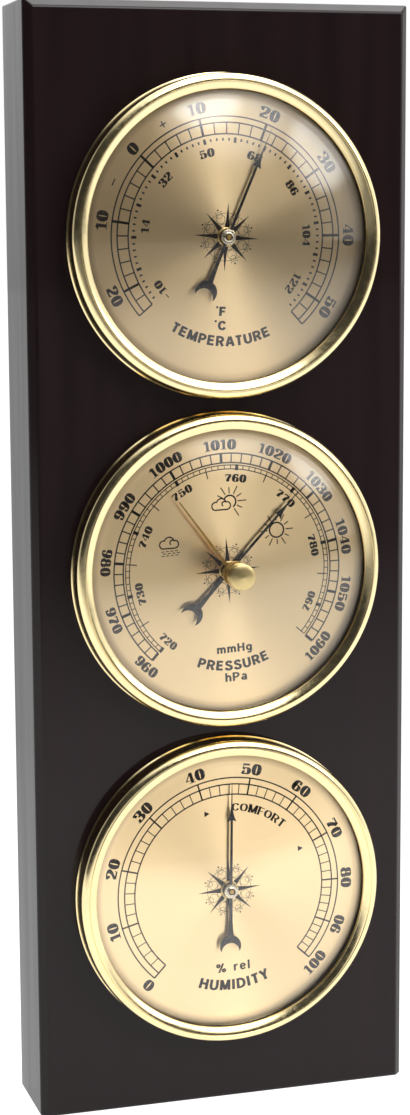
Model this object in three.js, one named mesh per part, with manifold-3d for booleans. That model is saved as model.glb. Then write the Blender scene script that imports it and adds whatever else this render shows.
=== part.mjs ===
// Wall weather station: a thermometer, an aneroid barometer and a hygrometer, each a round
// insert instrument, pressed into three bores of one upright lacquered board.
// Millimetres, X to the viewer's right, Y into the wall, Z up. The origin is the point on the
// plane of the board's back where the wall screw carries the hanger plate.
import * as THREE from "three";
import { mergeVertices } from "three/addons/utils/BufferGeometryUtils.js";
import Module from "manifold-3d";

const wasm = await Module();
wasm.setup();

// Clearances
const SEAT = 0.3; // between two pieces that rest on or fit into each other
const RUNNING = 0.3; // round a staff in its hole
const BACKLASH = 0.24; // share of a tooth pitch left free between the flanks
const BEYOND = 1; // how far a cutter reaches past what it cuts

// Instruments, and the board round them
const bezelRadius = 40.2; // every round instrument follows this radius
const instrumentGap = 3.8; // between neighbouring bezels
const boardSideMargin = 9.8; // board beside a bezel
const boardEndMargin = 17.6; // board above the top bezel and below the bottom one
const boardBevel = 2; // along the top and both sides of the front
const boardFootBevel = 0.6; // along its lower edge, which is only eased
const boreClearance = 2.2; // round a case, taken up by its spring clips

// Hanger plate
const hangDrop = 9.5; // hanging point below the board's top edge
const hangerWidth = 40;
const hangerMargin = 2.2; // metal left above and below the keyhole
const hangerThickness = 1.2;
const keySlotRadius = 2.1;
const keyEntryRadius = 3.8;
const keyTravel = 5.2;
const hangerPocketWidth = 18;
const hangerPocketDepth = 7;
const hangerScrewInset = 5; // from the plate's end to the middle of a screw
const hangerScrewHead = 2.8;
const hangerScrewHeadHeight = 1;
const hangerScrewShank = 1.3;
const hangerScrewLength = 8;
const hangerScrewPoint = 2;
const pilotSpare = 1; // pilot hole past the screw's point

// Instrument case, seen from its front to its back
const caseWall = 0.8;
const caseSetback = 7.8; // from the bezel's wall in to the case
const rimHeight = 1.7; // front of the case rim, above the board's face
const ventCount = 6;
const ventRadius = 2;
const ventInset = 7.6; // from the inside of the case to the circle of vents
const caseRecess = 3; // case back below the plane of the board's back

// Bezel, dial and glass
const bezelWall = 1;
const bezelFoot = 0.3; // how far the foot stands out past the wall
const bezelFootHeight = 0.6;
const bezelRoll = 1.5;
const bezelBand = 3.9; // from the bezel's wall in to its window
const bezelLip = 0.5;
const bezelRise = 0.9; // crest of the roll above the lip
const bezelGroove = 0.25;
const dialThickness = 0.7;
const dialFootRadius = 0.7;
const footSunk = 0.2; // how deep a foot or leg runs into the plate that carries it
const sealThickness = 0.8;
const glassRim = 0.9;
const glassThickness = 1.2;
const glassRise = 6.2; // crown of the glass above its rim

// Spring clips between case and bore
const clipCount = 3;
const clipWidth = 8;
const clipThickness = 0.4;
const clipEndMargin = 2;

// Staffs and needles
const pivotRadius = 0.6;
const staffRadius = 0.8;
const tubeWall = 0.5;
const tubeStand = 0.6; // bearing tube above the dial
const needleThickness = 0.3;
const needleLift = 1.4; // needle above the dial
const hubRadius = 1.5;
const hubHeight = 0.9;
const staffPeak = 0.4; // staff in front of the needle's hub
const needleClearance = 6.8; // from the needle's point to the window
const arrowSetback = 6.7; // from the needle's point to the head's
const arrowLength = 2.5;
const arrowHalfWidth = 1.05;
const needleRootHalfWidth = 0.6;
const needleTipHalfWidth = 0.09;
const tailHalfWidth = 0.65;
const hornRadius = 2.85;
const hornCentre = 14.2;
const hornBiteRadius = 2.45;
const hornBiteCentre = 15.5;

// Coils of the thermometer and the hygrometer, and the cradle that holds each
const strapThickness = 0.6;
const strapWidth = 10;
const cradleClearance = 3.4; // from the coil to the outside of a leg
const cradleDepth = 15.2;
const coilWidth = 5;
const coilStrip = 0.4;
const coilInner = 2.7;
const coilOuter = 12;
const coilTurns = 5;
const coilCollet = 2;
const coilFront = 4; // front edge of the coil behind the board's face
const regulatorHub = 3;
const regulatorArmWidth = 4;
const regulatorArmThickness = 0.9;
const regulatorPost = 0.8;
const driverSlotWidth = 0.9;
const driverSlotDepth = 0.7;

// Aneroid movement, from the dial to the case back
const bridgeThickness = 1;
const bridgeHalfWidth = 4;
const bridgeNear = 13; // from the needle's staff to the leg beyond it
const bridgeFar = 4.4; // from the sector's staff to the leg beyond it
const lugWidth = 3;
const hairspringGap = 0.5;
const hairspringWidth = 0.9;
const hairspringStrip = 0.3;
const hairspringInner = 2.6;
const hairspringOuter = 6.2;
const hairspringTurns = 4;
const sectorInset = 7.4; // from the plate's edge in to the sector's staff
const pinionTeeth = 12;
const wheelTeeth = 108; // teeth that the sector would have if it went all round
const pinionLength = 2.4;
const sectorThickness = 1;
const sectorHub = 1.5;
const sectorRim = 2.6; // from the pitch circle in to the window
const trainGap = 0.7; // between the pinion and the top plate
const topPlateThickness = 1;
const plateClearance = 3.2; // between a movement plate and the inside of the case
const plateWindow = 6;
const leverDrop = 1.4; // lever shaft behind the top plate
const leverShaftRadius = 0.8;
const leverShaftEnd = 0.6; // shaft past the middle of an ear
const leverEarThickness = 0.8;
const leverEarWidth = 4.4;
const leverEarWall = 0.8; // ear behind the bore of the shaft
const leverBeyond = 2.2; // from the finger to the left ear
const leverRight = 2.6; // from the needle's staff to the right ear
const leverBlade = 1; // thickness of the blade that rests on the capsule's post
const leverBladeWidth = 1.8;
const leverBladeEnd = 1.2; // blade past the middle of the post
const leverFinger = 0.45;
const tailReach = 2; // from the sector's pivot to the finger
const tailHalfHeight = 0.8;
const postRadius = 1.3;
const sleeveWall = 1;
const sleeveHeight = 1.6;
const sleeveDepth = 2; // bore of the sleeve inside the capsule
const postSeat = 1; // post inside the mouth of the sleeve
const capsuleClearance = 2.2; // between the capsule and a pillar
const capsuleThickness = 8;
const capsuleWave = 0.5;
const capsuleWaves = 3;
const capsuleFlat = 1.5; // flat rings inside and outside the waves
const bossRadius = 3.4;
const bossHeight = 1.6;
const basePlateThickness = 1.2;
const pillarRadius = 1.8;
const pillarInset = 4.4; // from the plate's edge in to the middle of a pillar
const bridgeLeg = 1.4;
const adjusterHead = 3.2;
const adjusterHeadHeight = 1.2;
const adjusterShank = 1.3;
const adjusterReach = 4;
const baseScrewSpacing = 30;
const baseScrewHead = 2.4;
const baseScrewHeadHeight = 0.8;
const baseScrewShank = 1.2;

// Set hand and its knob
const bushBore = 1.4;
const bushWall = 0.6;
const bushFlange = 3.3;
const bushFlangeThickness = 0.8;
const setHandClearance = 13.3; // from the set hand's point to the window
const setHandHub = 0.6; // wall of its hub, and the hub's height in front of the hand
const setHandRootHalfWidth = 0.55;
const setHandTipHalfWidth = 0.15;
const setHandLift = 1.1; // below the needle's hub to the set hand
const knobRadius = 3.35;
const knobLength = 3.6;
const knobCone = 0.5;
const knobGroove = 0.25;

// Scales, in degrees clockwise from the top of each dial, and what the photographed hands read
const scaleHalfSweep = 134;
const thermometerTurn = 3.8; // each instrument sits a little turned in its bore
const barometerTurn = -3.4;
const hygrometerTurn = -2.9;
const thermometerReading = 19.6;
const barometerReading = 46.6;
const hygrometerReading = 3.7;
const setHandReading = -33.2;
const sectorBearing = 164; // direction from the needle's staff to the sector's, from X towards Z

// Sides of the turned pieces
const LARGE = 36;
const MEDIUM = 24;
const SMALL = 14;
const FINE = 8;

// Radii that follow from the bezel's and from the fits
const caseRadius = bezelRadius - caseSetback;
const boreRadius = caseRadius + boreClearance;
const caseInner = caseRadius - caseWall;
const ventCircle = caseInner - ventInset;
const bezelWindow = bezelRadius - bezelBand;
const bezelInner = bezelRadius - bezelWall;
const rimOuter = bezelInner - SEAT;
const rimInner = rimOuter - caseWall;
const seatedRadius = rimOuter - SEAT; // dial, seal and glass, inside the bezel
const dialFootCircle = (caseRadius + rimInner) / 2;
const tubeBore = staffRadius + RUNNING;
const tubeOuter = tubeBore + tubeWall;
const needleReach = bezelWindow - needleClearance;
const arrowTip = needleReach - arrowSetback;
const arrowBase = arrowTip - arrowLength;
const cradleHalfSpan = coilOuter + cradleClearance;
const plateRadius = caseInner - plateClearance;
const pillarCircle = plateRadius - pillarInset;
const capsuleRadius = pillarCircle - pillarRadius - capsuleClearance;
const adjusterHole = adjusterHead + SEAT;
const spindleRadius = bushBore - RUNNING;
const bushOuter = bushBore + bushWall;
const setHandReach = bezelWindow - setHandClearance;

// Board and hanger
const hangerScrewSpacing = hangerWidth - 2 * hangerScrewInset;
const instrumentPitch = 2 * bezelRadius + instrumentGap;
const boardWidth = 2 * (bezelRadius + boardSideMargin);
const boardHeight = 2 * (instrumentPitch + bezelRadius + boardEndMargin);
const boardMiddle = hangDrop - boardHeight / 2; // height of the board's middle and of its middle bore

// Heights along Y in an instrument, from the board's face: minus is to the front
const flangeBack = -SEAT;
const flangeFront = flangeBack - caseWall;
const rimFront = flangeBack - rimHeight;
const dialBack = rimFront - SEAT;
const dialFront = dialBack - dialThickness;
const sealBack = dialFront - SEAT;
const sealFront = sealBack - sealThickness;
const glassBack = sealFront - SEAT;
const glassFront = glassBack - glassRim;
const lipBack = glassFront - SEAT;
const lipFront = lipBack - bezelLip;
const bezelFront = lipFront - bezelRise;
const glassCrown = glassFront - glassRise;
const glassCeiling = glassCrown + glassThickness;
const tubeFront = dialFront - tubeStand;
const needleBack = dialFront - needleLift;
const needleFront = needleBack - needleThickness;
const hubBack = needleBack + (hubHeight - needleThickness) / 2;
const hubFront = hubBack - hubHeight;
const staffTip = hubFront - staffPeak;
const bridgeFront = dialBack + SEAT;
const bridgeBack = bridgeFront + bridgeThickness;
const hairspringFront = bridgeBack + hairspringGap;
const hairspringBack = hairspringFront + hairspringWidth;
const pinionFront = hairspringBack + hairspringGap;
const pinionBack = pinionFront + pinionLength;
const sectorMiddle = (pinionFront + pinionBack) / 2;
const topPlateFront = pinionBack + trainGap;
const topPlateBack = topPlateFront + topPlateThickness;
const leverAxis = topPlateBack + leverDrop;
const bladeBack = leverAxis + leverBlade / 2;
const postFront = bladeBack + SEAT;
const sleeveFront = postFront + postSeat;
const capsuleFront = sleeveFront + sleeveHeight;
const capsuleBack = capsuleFront + capsuleThickness;
const bossBack = capsuleBack + bossHeight;
const basePlateFront = bossBack + SEAT;
const basePlateBack = basePlateFront + basePlateThickness;
const caseFloor = basePlateBack + SEAT;
const caseBack = caseFloor + caseWall;
const boardThickness = caseBack + caseRecess; // the board is as thick as the barometer needs

// Gear train of the barometer, whose module follows from the distance between its staffs
const trainCentres = plateRadius - sectorInset;
const toothModule = (2 * trainCentres) / (pinionTeeth + wheelTeeth);
const pinionPitchRadius = (toothModule * pinionTeeth) / 2;
const wheelPitchRadius = (toothModule * wheelTeeth) / 2;
const trainRatio = wheelTeeth / pinionTeeth;
const bearing = THREE.MathUtils.degToRad(sectorBearing);
const sectorX = trainCentres * Math.cos(bearing);
const sectorZ = trainCentres * Math.sin(bearing);
const leverZ = sectorZ - tailHalfHeight - SEAT - leverFinger;

const degrees = THREE.MathUtils.degToRad;

// A closed geometry as a solid that can be joined and cut.
function solidOf(geometry) {
  const bare = geometry.index ? geometry.toNonIndexed() : geometry.clone();
  bare.deleteAttribute("normal");
  bare.deleteAttribute("uv");
  const merged = mergeVertices(bare, 1e-4);
  const vertProperties = merged.attributes.position.array;
  const triVerts = new Uint32Array(merged.index.array);
  return new wasm.Manifold(new wasm.Mesh({ numProp: 3, vertProperties, triVerts }));
}

function geometryOf(solid) {
  const mesh = solid.getMesh();
  const geometry = new THREE.BufferGeometry();
  geometry.setAttribute("position", new THREE.BufferAttribute(mesh.vertProperties, 3));
  geometry.setIndex(new THREE.BufferAttribute(mesh.triVerts, 1));
  geometry.computeVertexNormals();
  return geometry;
}

function join(...geometries) {
  return geometryOf(geometries.map(solidOf).reduce((whole, piece) => whole.add(piece)));
}

function cut(body, ...tools) {
  return geometryOf(tools.map(solidOf).reduce((whole, tool) => whole.subtract(tool), solidOf(body)));
}

function common(first, second) {
  return geometryOf(solidOf(first).intersect(solidOf(second)));
}

// A piece turned about the Y axis from an outline of [radius, y] corners.
function turned(outline, sides) {
  const corners = outline.map(([radius, y]) => new THREE.Vector2(radius, y));
  const onAxis = corners[0].x === 0 && corners.at(-1).x === 0;
  if (THREE.ShapeUtils.area(corners) < 0) corners.reverse();
  if (!onAxis) corners.push(corners[0].clone());
  return new THREE.LatheGeometry(corners, sides);
}

function ring(inner, outer, front, back, sides) {
  return turned([[inner, front], [outer, front], [outer, back], [inner, back]], sides);
}

// A round bar along Y.
function rod(radius, front, back, sides, x = 0, z = 0) {
  const geometry = new THREE.CylinderGeometry(radius, radius, back - front, sides);
  geometry.translate(x, (front + back) / 2, z);
  return geometry;
}

function block(x, y, z, width, depth, height) {
  const geometry = new THREE.BoxGeometry(width, depth, height);
  geometry.translate(x, y, z);
  return geometry;
}

// A flat piece whose outline is drawn in X and Z, between its front and its back.
function plate(outline, front, back, curveSegments = 12) {
  const settings = { depth: back - front, bevelEnabled: false, curveSegments };
  const geometry = new THREE.ExtrudeGeometry(outline, settings);
  geometry.rotateX(Math.PI / 2);
  geometry.translate(0, back, 0);
  return geometry;
}

function polygon(corners) {
  return new THREE.Shape(corners.map(([x, z]) => new THREE.Vector2(x, z)));
}

function circle(x, z, radius) {
  const path = new THREE.Path();
  path.absarc(x, z, radius, 0, Math.PI * 2);
  return path;
}

function polar(radius, angle) {
  return [radius * Math.cos(angle), radius * Math.sin(angle)];
}

// Corners along an arc in an outline, first and last included.
function arc(centreX, centreY, radius, from, to, steps) {
  return Array.from({ length: steps + 1 }, (_, step) => {
    const [x, y] = polar(radius, degrees(from + ((to - from) * step) / steps));
    return [centreX + x, centreY + y];
  });
}

const root = new THREE.Group();
root.name = "wall_weather_station";

const materials = {
  lacquer: { color: 0x2a1b1c, roughness: 0.22, metalness: 0 },
  gold: { color: 0xd9b25c, roughness: 0.2, metalness: 1 },
  dial: { color: 0xd8c08a, roughness: 0.45, metalness: 0.7 },
  brass: { color: 0xb98f45, roughness: 0.35, metalness: 1 },
  black: { color: 0x15130f, roughness: 0.4, metalness: 0.2 },
  glass: { color: 0xf4f4ee, roughness: 0.03, metalness: 0, transparent: true, opacity: 0.25 },
  rubber: { color: 0x1d1d1d, roughness: 0.8, metalness: 0 },
  steel: { color: 0x9b9c9e, roughness: 0.35, metalness: 1 },
  zinc: { color: 0xb9bab6, roughness: 0.45, metalness: 1 },
  bimetal: { color: 0xa8703d, roughness: 0.4, metalness: 1 },
  hairCoil: { color: 0xc9b18a, roughness: 0.6, metalness: 0.1 },
};

// Adds one named piece to a group.
function addPiece(group, name, finish, geometry) {
  const mesh = new THREE.Mesh(geometry, new THREE.MeshStandardMaterial(materials[finish]));
  mesh.name = name;
  group.add(mesh);
  return mesh;
}

// Board and hanger

// The hanger plate lies in a shallow recess, so that its screw heads stay below the board's back.
const hangerOuter = -SEAT - hangerScrewHeadHeight - SEAT;
const hangerInner = hangerOuter - hangerThickness;
const hangerRecess = hangerInner - SEAT;
const hangerTop = keySlotRadius + hangerMargin;
const hangerBottom = -keyTravel - keyEntryRadius - hangerMargin;

function backboard() {
  const halfWidth = boardWidth / 2;
  const halfHeight = boardHeight / 2;
  const acrossSection = new THREE.Shape([
    new THREE.Vector2(-halfWidth, 0),
    new THREE.Vector2(-halfWidth, boardBevel - boardThickness),
    new THREE.Vector2(boardBevel - halfWidth, -boardThickness),
    new THREE.Vector2(halfWidth - boardBevel, -boardThickness),
    new THREE.Vector2(halfWidth, boardBevel - boardThickness),
    new THREE.Vector2(halfWidth, 0),
  ]);
  const upright = new THREE.ExtrudeGeometry(acrossSection, { depth: boardHeight, bevelEnabled: false });
  upright.translate(0, 0, -halfHeight);
  const sideSection = new THREE.Shape([
    new THREE.Vector2(0, -halfHeight),
    new THREE.Vector2(0, halfHeight),
    new THREE.Vector2(-boardThickness + boardBevel, halfHeight),
    new THREE.Vector2(-boardThickness, halfHeight - boardBevel),
    new THREE.Vector2(-boardThickness, boardFootBevel - halfHeight),
    new THREE.Vector2(-boardThickness + boardFootBevel, -halfHeight),
  ]);
  const lying = new THREE.ExtrudeGeometry(sideSection, { depth: boardWidth, bevelEnabled: false });
  lying.rotateY(Math.PI / 2);
  lying.rotateX(Math.PI / 2);
  lying.translate(-halfWidth, 0, 0);
  const bevelled = common(upright, lying);
  bevelled.translate(0, 0, boardMiddle);
  const bores = [-1, 0, 1].map((place) =>
    rod(boreRadius, -boardThickness - BEYOND, BEYOND, LARGE, 0, boardMiddle + place * instrumentPitch),
  );
  const plateHeight = hangerTop - hangerBottom + 2 * SEAT;
  const plateMiddle = (hangerTop + hangerBottom) / 2;
  const recessWidth = hangerWidth + 2 * SEAT;
  const recessMiddle = (hangerRecess + BEYOND) / 2;
  const recess = block(0, recessMiddle, plateMiddle, recessWidth, BEYOND - hangerRecess, plateHeight);
  const pocketTop = keyEntryRadius;
  const pocketBottom = -keyTravel - keyEntryRadius;
  const pocket = block(
    0,
    hangerRecess + (BEYOND - hangerPocketDepth) / 2,
    (pocketTop + pocketBottom) / 2,
    hangerPocketWidth,
    hangerPocketDepth + BEYOND,
    pocketTop - pocketBottom,
  );
  const pilots = [-1, 1].map((side) =>
    rod(
      hangerScrewShank + SEAT,
      hangerInner - hangerScrewLength - pilotSpare,
      0,
      FINE,
      (side * hangerScrewSpacing) / 2,
      plateMiddle,
    ),
  );
  return cut(bevelled, ...bores, recess, pocket, ...pilots);
}

// A keyhole: the screw's head goes in at the wide end and its neck slides up the slot.
function keyhole() {
  const drop = Math.sqrt(keyEntryRadius ** 2 - keySlotRadius ** 2);
  const flare = Math.atan2(drop, keySlotRadius);
  const path = new THREE.Path();
  path.absarc(0, 0, keySlotRadius, 0, Math.PI, false);
  path.absarc(0, -keyTravel, keyEntryRadius, Math.PI - flare, flare, false);
  path.closePath();
  return path;
}

function hangerPlate() {
  const half = hangerWidth / 2;
  const height = hangerTop - hangerBottom;
  const round = height / 4;
  const outline = new THREE.Shape();
  outline.moveTo(-half + round, hangerBottom);
  outline.lineTo(half - round, hangerBottom);
  outline.absarc(half - round, hangerBottom + round, round, -Math.PI / 2, 0);
  outline.absarc(half - round, hangerTop - round, round, 0, Math.PI / 2);
  outline.absarc(-half + round, hangerTop - round, round, Math.PI / 2, Math.PI);
  outline.absarc(-half + round, hangerBottom + round, round, Math.PI, 1.5 * Math.PI);
  outline.holes.push(keyhole());
  for (const side of [-1, 1]) {
    const x = (side * hangerScrewSpacing) / 2;
    outline.holes.push(circle(x, (hangerTop + hangerBottom) / 2, hangerScrewShank + SEAT));
  }
  return plate(outline, hangerInner, hangerOuter, 5);
}

function hangerScrew() {
  const headBack = hangerOuter + SEAT;
  const pointEnd = hangerInner - hangerScrewLength;
  const outline = [
    [0, pointEnd],
    [hangerScrewShank, pointEnd + hangerScrewPoint],
    [hangerScrewShank, headBack],
    [hangerScrewHead, headBack],
    [hangerScrewHead * 0.7, headBack + hangerScrewHeadHeight],
    [0, headBack + hangerScrewHeadHeight],
  ];
  return turned(outline, FINE);
}

function addBoard() {
  addPiece(root, "backboard", "lacquer", backboard());
  addPiece(root, "hanger_plate", "zinc", hangerPlate());
  for (const [name, side] of [["left", -1], ["right", 1]]) {
    const screw = addPiece(root, `hanger_screw_${name}`, "zinc", hangerScrew());
    screw.position.set((side * hangerScrewSpacing) / 2, 0, (hangerTop + hangerBottom) / 2);
  }
}

// Case, bezel, dial and glass, the same for all three instruments

function dialFeetPlaces() {
  return [-dialFootCircle, dialFootCircle];
}

function instrumentCase(backHoles) {
  const outline = [
    [0, caseFloor],
    [caseInner, caseFloor],
    [caseInner, flangeFront],
    [rimInner, flangeFront],
    [rimInner, rimFront],
    [rimOuter, rimFront],
    [rimOuter, flangeBack],
    [caseRadius, flangeBack],
    [caseRadius, caseBack - caseWall],
    [caseInner, caseBack],
    [0, caseBack],
  ];
  const feet = dialFeetPlaces().map((z) =>
    rod(dialFootRadius + RUNNING, flangeFront - BEYOND, flangeBack + BEYOND, FINE, 0, z),
  );
  return cut(turned(outline, MEDIUM), ...feet, ...backHoles);
}

function backHole(radius, x = 0, z = 0) {
  return rod(radius, caseFloor - BEYOND, caseBack + BEYOND, SMALL, x, z);
}

// Air reaches the coil through a ring of vents in the case back.
function vents() {
  return Array.from({ length: ventCount }, (_, index) => {
    const [x, z] = polar(ventCircle, (index / ventCount) * 2 * Math.PI);
    return rod(ventRadius, caseFloor - BEYOND, caseBack + BEYOND, FINE, x, z);
  });
}

function bezel() {
  const rollCentre = [bezelRadius - bezelRoll, bezelFront + bezelRoll];
  const footFront = flangeBack - bezelFootHeight;
  const crest = bezelRadius - bezelRoll;
  const outline = [
    [bezelInner, flangeBack],
    [bezelRadius + bezelFoot, flangeBack],
    [bezelRadius + bezelFoot, footFront],
    [bezelRadius, footFront - bezelFoot],
    ...arc(...rollCentre, bezelRoll, 0, -90, 4),
    [crest - bezelGroove, bezelFront + bezelGroove],
    [crest - 2 * bezelGroove, bezelFront],
    [bezelWindow, lipFront],
    [bezelWindow, lipBack],
    [bezelInner, lipBack],
  ];
  return turned(outline, LARGE);
}

// Corners of a spherical cap, from its edge to a smaller radius.
function capCorners(edgeRadius, edgeY, crownY, endRadius, steps) {
  const rise = edgeY - crownY;
  const sphere = (edgeRadius ** 2 + rise ** 2) / (2 * rise);
  return Array.from({ length: steps + 1 }, (_, step) => {
    const radius = edgeRadius + ((endRadius - edgeRadius) * step) / steps;
    return [radius, crownY + sphere - Math.sqrt(sphere ** 2 - radius ** 2)];
  });
}

function domedGlass(holeRadius) {
  const domeEdge = bezelWindow - SEAT;
  const outline = [
    [seatedRadius, glassFront],
    ...capCorners(domeEdge, glassFront, glassCrown, holeRadius, 4),
    ...capCorners(domeEdge - glassThickness, glassBack, glassCeiling, holeRadius, 4).reverse(),
    [seatedRadius, glassBack],
  ];
  return turned(outline, MEDIUM);
}

function glassSeal() {
  return ring(bezelWindow + SEAT, seatedRadius, sealFront, sealBack, MEDIUM);
}

function dial() {
  const disc = ring(tubeOuter + RUNNING, seatedRadius, dialFront, dialBack, MEDIUM);
  const feet = dialFeetPlaces().map((z) =>
    rod(dialFootRadius, dialBack - footSunk, flangeBack - footSunk, FINE, 0, z),
  );
  return join(disc, ...feet);
}

// A bowed leaf spring lying along the case, with its crest against the wall of the bore.
function springClip() {
  const start = 2 * SEAT;
  const end = caseBack - clipEndMargin;
  const middle = (start + end) / 2;
  const foot = caseRadius + SEAT;
  const crest = Math.sqrt((boreRadius - SEAT) ** 2 - (clipWidth / 2) ** 2);
  const bow = 2 * (crest - clipThickness - foot);
  const shape = new THREE.Shape();
  shape.moveTo(foot, start);
  shape.lineTo(foot + clipThickness, start);
  shape.quadraticCurveTo(foot + clipThickness + bow, middle, foot + clipThickness, end);
  shape.lineTo(foot, end);
  shape.quadraticCurveTo(foot + bow, middle, foot, start);
  const settings = { depth: clipWidth, bevelEnabled: false, curveSegments: 6 };
  const geometry = new THREE.ExtrudeGeometry(shape, settings);
  geometry.translate(0, 0, -clipWidth / 2);
  return geometry;
}

function addShell(group, name, glassHole, backHoles) {
  addPiece(group, `${name}_case`, "zinc", instrumentCase(backHoles));
  addPiece(group, `${name}_bezel`, "gold", bezel());
  addPiece(group, `${name}_glass`, "glass", domedGlass(glassHole));
  addPiece(group, `${name}_glass_seal`, "rubber", glassSeal());
  addPiece(group, `${name}_dial`, "dial", dial());
  for (let index = 0; index < clipCount; index += 1) {
    const clip = addPiece(group, `${name}_clip_${index + 1}`, "steel", springClip());
    clip.rotation.y = degrees(30 + (360 / clipCount) * index);
  }
}

// Staffs and needles

// The staff's front end, from its shoulder behind the bearing tube to the tip in the needle's hub.
function staffFront() {
  return [
    [staffRadius, bridgeBack + SEAT],
    [staffRadius, hubBack + SEAT],
    [pivotRadius, hubBack + SEAT],
    [pivotRadius, staffTip],
    [0, staffTip],
  ];
}

function needle() {
  const point = polygon([
    [-needleRootHalfWidth, 0],
    [-needleTipHalfWidth * 2, arrowBase],
    [-arrowHalfWidth, arrowBase],
    [-needleTipHalfWidth, arrowTip],
    [0, needleReach],
    [needleTipHalfWidth, arrowTip],
    [arrowHalfWidth, arrowBase],
    [needleTipHalfWidth * 2, arrowBase],
    [needleRootHalfWidth, 0],
  ]);
  const rodTail = polygon([
    [tailHalfWidth, 0],
    [tailHalfWidth, hornRadius / 2 - hornCentre],
    [-tailHalfWidth, hornRadius / 2 - hornCentre],
    [-tailHalfWidth, 0],
  ]);
  const crescent = cut(
    rod(hornRadius, needleFront, needleBack, 18, 0, -hornCentre),
    rod(hornBiteRadius, needleFront - BEYOND, needleBack + BEYOND, 18, 0, -hornBiteCentre),
    block(0, needleBack, -hornCentre - hornRadius, 4 * hornRadius, 4 * BEYOND, hornRadius),
  );
  const blades = [point, rodTail].map((outline) => plate(outline, needleFront, needleBack));
  const bar = join(...blades, crescent, rod(hubRadius, hubFront, hubBack, SMALL));
  return cut(bar, rod(pivotRadius + SEAT, hubFront - BEYOND, hubBack + BEYOND, SMALL));
}

function addNeedle(group, name, reading) {
  const hand = addPiece(group, `${name}_needle`, "black", needle());
  hand.rotation.y = degrees(reading);
}

// The tube that carries the staff through the dial, as an outline on a strap or bridge.
function bearingTube(strapBack) {
  return ring(tubeBore, tubeOuter, tubeFront, strapBack, SMALL);
}

// Coil movements of the thermometer and the hygrometer

// A flat strip wound as an evenly spaced spiral, as deep along Y as it is wide.
function spiralStrip(inner, outer, turns, strip, front, back, stepsPerTurn) {
  const steps = turns * stepsPerTurn;
  const edge = (offset) =>
    Array.from({ length: steps + 1 }, (_, step) => {
      const radius = inner + ((outer - inner) * step) / steps + offset;
      return polar(radius, (2 * Math.PI * step) / stepsPerTurn - Math.PI / 2);
    });
  return plate(polygon([...edge(-strip / 2), ...edge(strip / 2).reverse()]), front, back);
}

// Least gap between neighbouring turns of a spiral, measured between points of its two edges.
function leastTurnGap(geometry, strip) {
  const points = geometry.attributes.position;
  let least = Infinity;
  for (let a = 0; a < points.count; a += 1) {
    for (let b = a + 1; b < points.count; b += 1) {
      const apart = Math.hypot(points.getX(a) - points.getX(b), points.getZ(a) - points.getZ(b));
      if (apart > strip * 1.5 && apart < least) least = apart;
    }
  }
  return least;
}

const cradleFloor = cradleDepth;
const crossPieceFront = cradleFloor - caseWall;
const armBack = crossPieceFront - SEAT;
const armFront = armBack - regulatorArmThickness;
const coilBack = coilFront + coilWidth;

// The strap lies on the case flange under the dial; its cradle hangs behind it with the coil.
function strap() {
  const back = flangeFront - SEAT;
  const front = back - strapThickness;
  const reach = rimInner - SEAT;
  const halfWidth = strapWidth / 2;
  const halfLength = Math.sqrt(reach ** 2 - halfWidth ** 2);
  const bar = block(0, (front + back) / 2, 0, 2 * halfLength, strapThickness, strapWidth);
  const legs = [-1, 1].map((side) =>
    block(
      side * (cradleHalfSpan - caseWall / 2),
      (front + cradleFloor) / 2,
      0,
      caseWall,
      cradleFloor - front,
      strapWidth,
    ),
  );
  const crossPiece = block(0, cradleFloor - caseWall / 2, 0, 2 * cradleHalfSpan, caseWall, strapWidth);
  const tube = rod(tubeOuter, tubeFront, back, SMALL);
  const frame = join(bar, ...legs, crossPiece, tube);
  const bore = rod(tubeBore, tubeFront - BEYOND, back + BEYOND, SMALL);
  const seat = rod(regulatorHub + RUNNING, armBack, cradleFloor + BEYOND, SMALL);
  return cut(frame, bore, seat);
}

// The regulator turns in the cradle: its arm holds the coil's outer end, its slotted head the driver.
function regulator() {
  const headBack = caseBack - SEAT;
  const hub = rod(regulatorHub, armFront, headBack, SMALL);
  const pinZ = -(coilOuter + coilStrip / 2 + SEAT + regulatorPost);
  const armLength = -pinZ + regulatorPost;
  const arm = block(
    0,
    (armFront + armBack) / 2,
    -armLength / 2,
    regulatorArmWidth,
    regulatorArmThickness,
    armLength,
  );
  const pin = rod(regulatorPost, coilFront, armBack, FINE, 0, pinZ);
  const body = join(hub, arm, pin);
  const pivotHole = rod(pivotRadius + RUNNING, armFront - BEYOND, armBack + BEYOND, SMALL);
  const slot = block(0, headBack, 0, 4 * regulatorHub, 2 * driverSlotDepth, driverSlotWidth);
  return cut(body, pivotHole, slot);
}

function coilStaff() {
  const outline = [
    [0, armBack - SEAT],
    [pivotRadius, armBack - SEAT],
    [pivotRadius, armFront - SEAT],
    [coilCollet, armFront - SEAT],
    [coilCollet, coilFront],
    [staffRadius, coilFront],
    ...staffFront(),
  ];
  return turned(outline, 12);
}

function addCoilInstrument(name, coilName, coilFinish, place, turn, reading) {
  const group = new THREE.Group();
  group.position.set(0, -boardThickness, boardMiddle + place * instrumentPitch);
  group.rotation.y = degrees(turn);
  root.add(group);
  addShell(group, name, 0, [backHole(regulatorHub + SEAT), ...vents()]);
  addPiece(group, `${name}_cradle`, "brass", strap());
  addPiece(group, `${name}_regulator`, "brass", regulator());
  const coil = spiralStrip(coilInner, coilOuter, coilTurns, coilStrip, coilFront, coilBack, 16);
  console.log(`${coilName} least gap ${leastTurnGap(coil, coilStrip).toFixed(2)} mm`);
  addPiece(group, coilName, coilFinish, coil);
  addPiece(group, `${name}_staff`, "brass", coilStaff());
  addNeedle(group, name, reading);
}

// Aneroid movement of the barometer

const towardsPivot = new THREE.Vector2(Math.cos(bearing), Math.sin(bearing));

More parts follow.
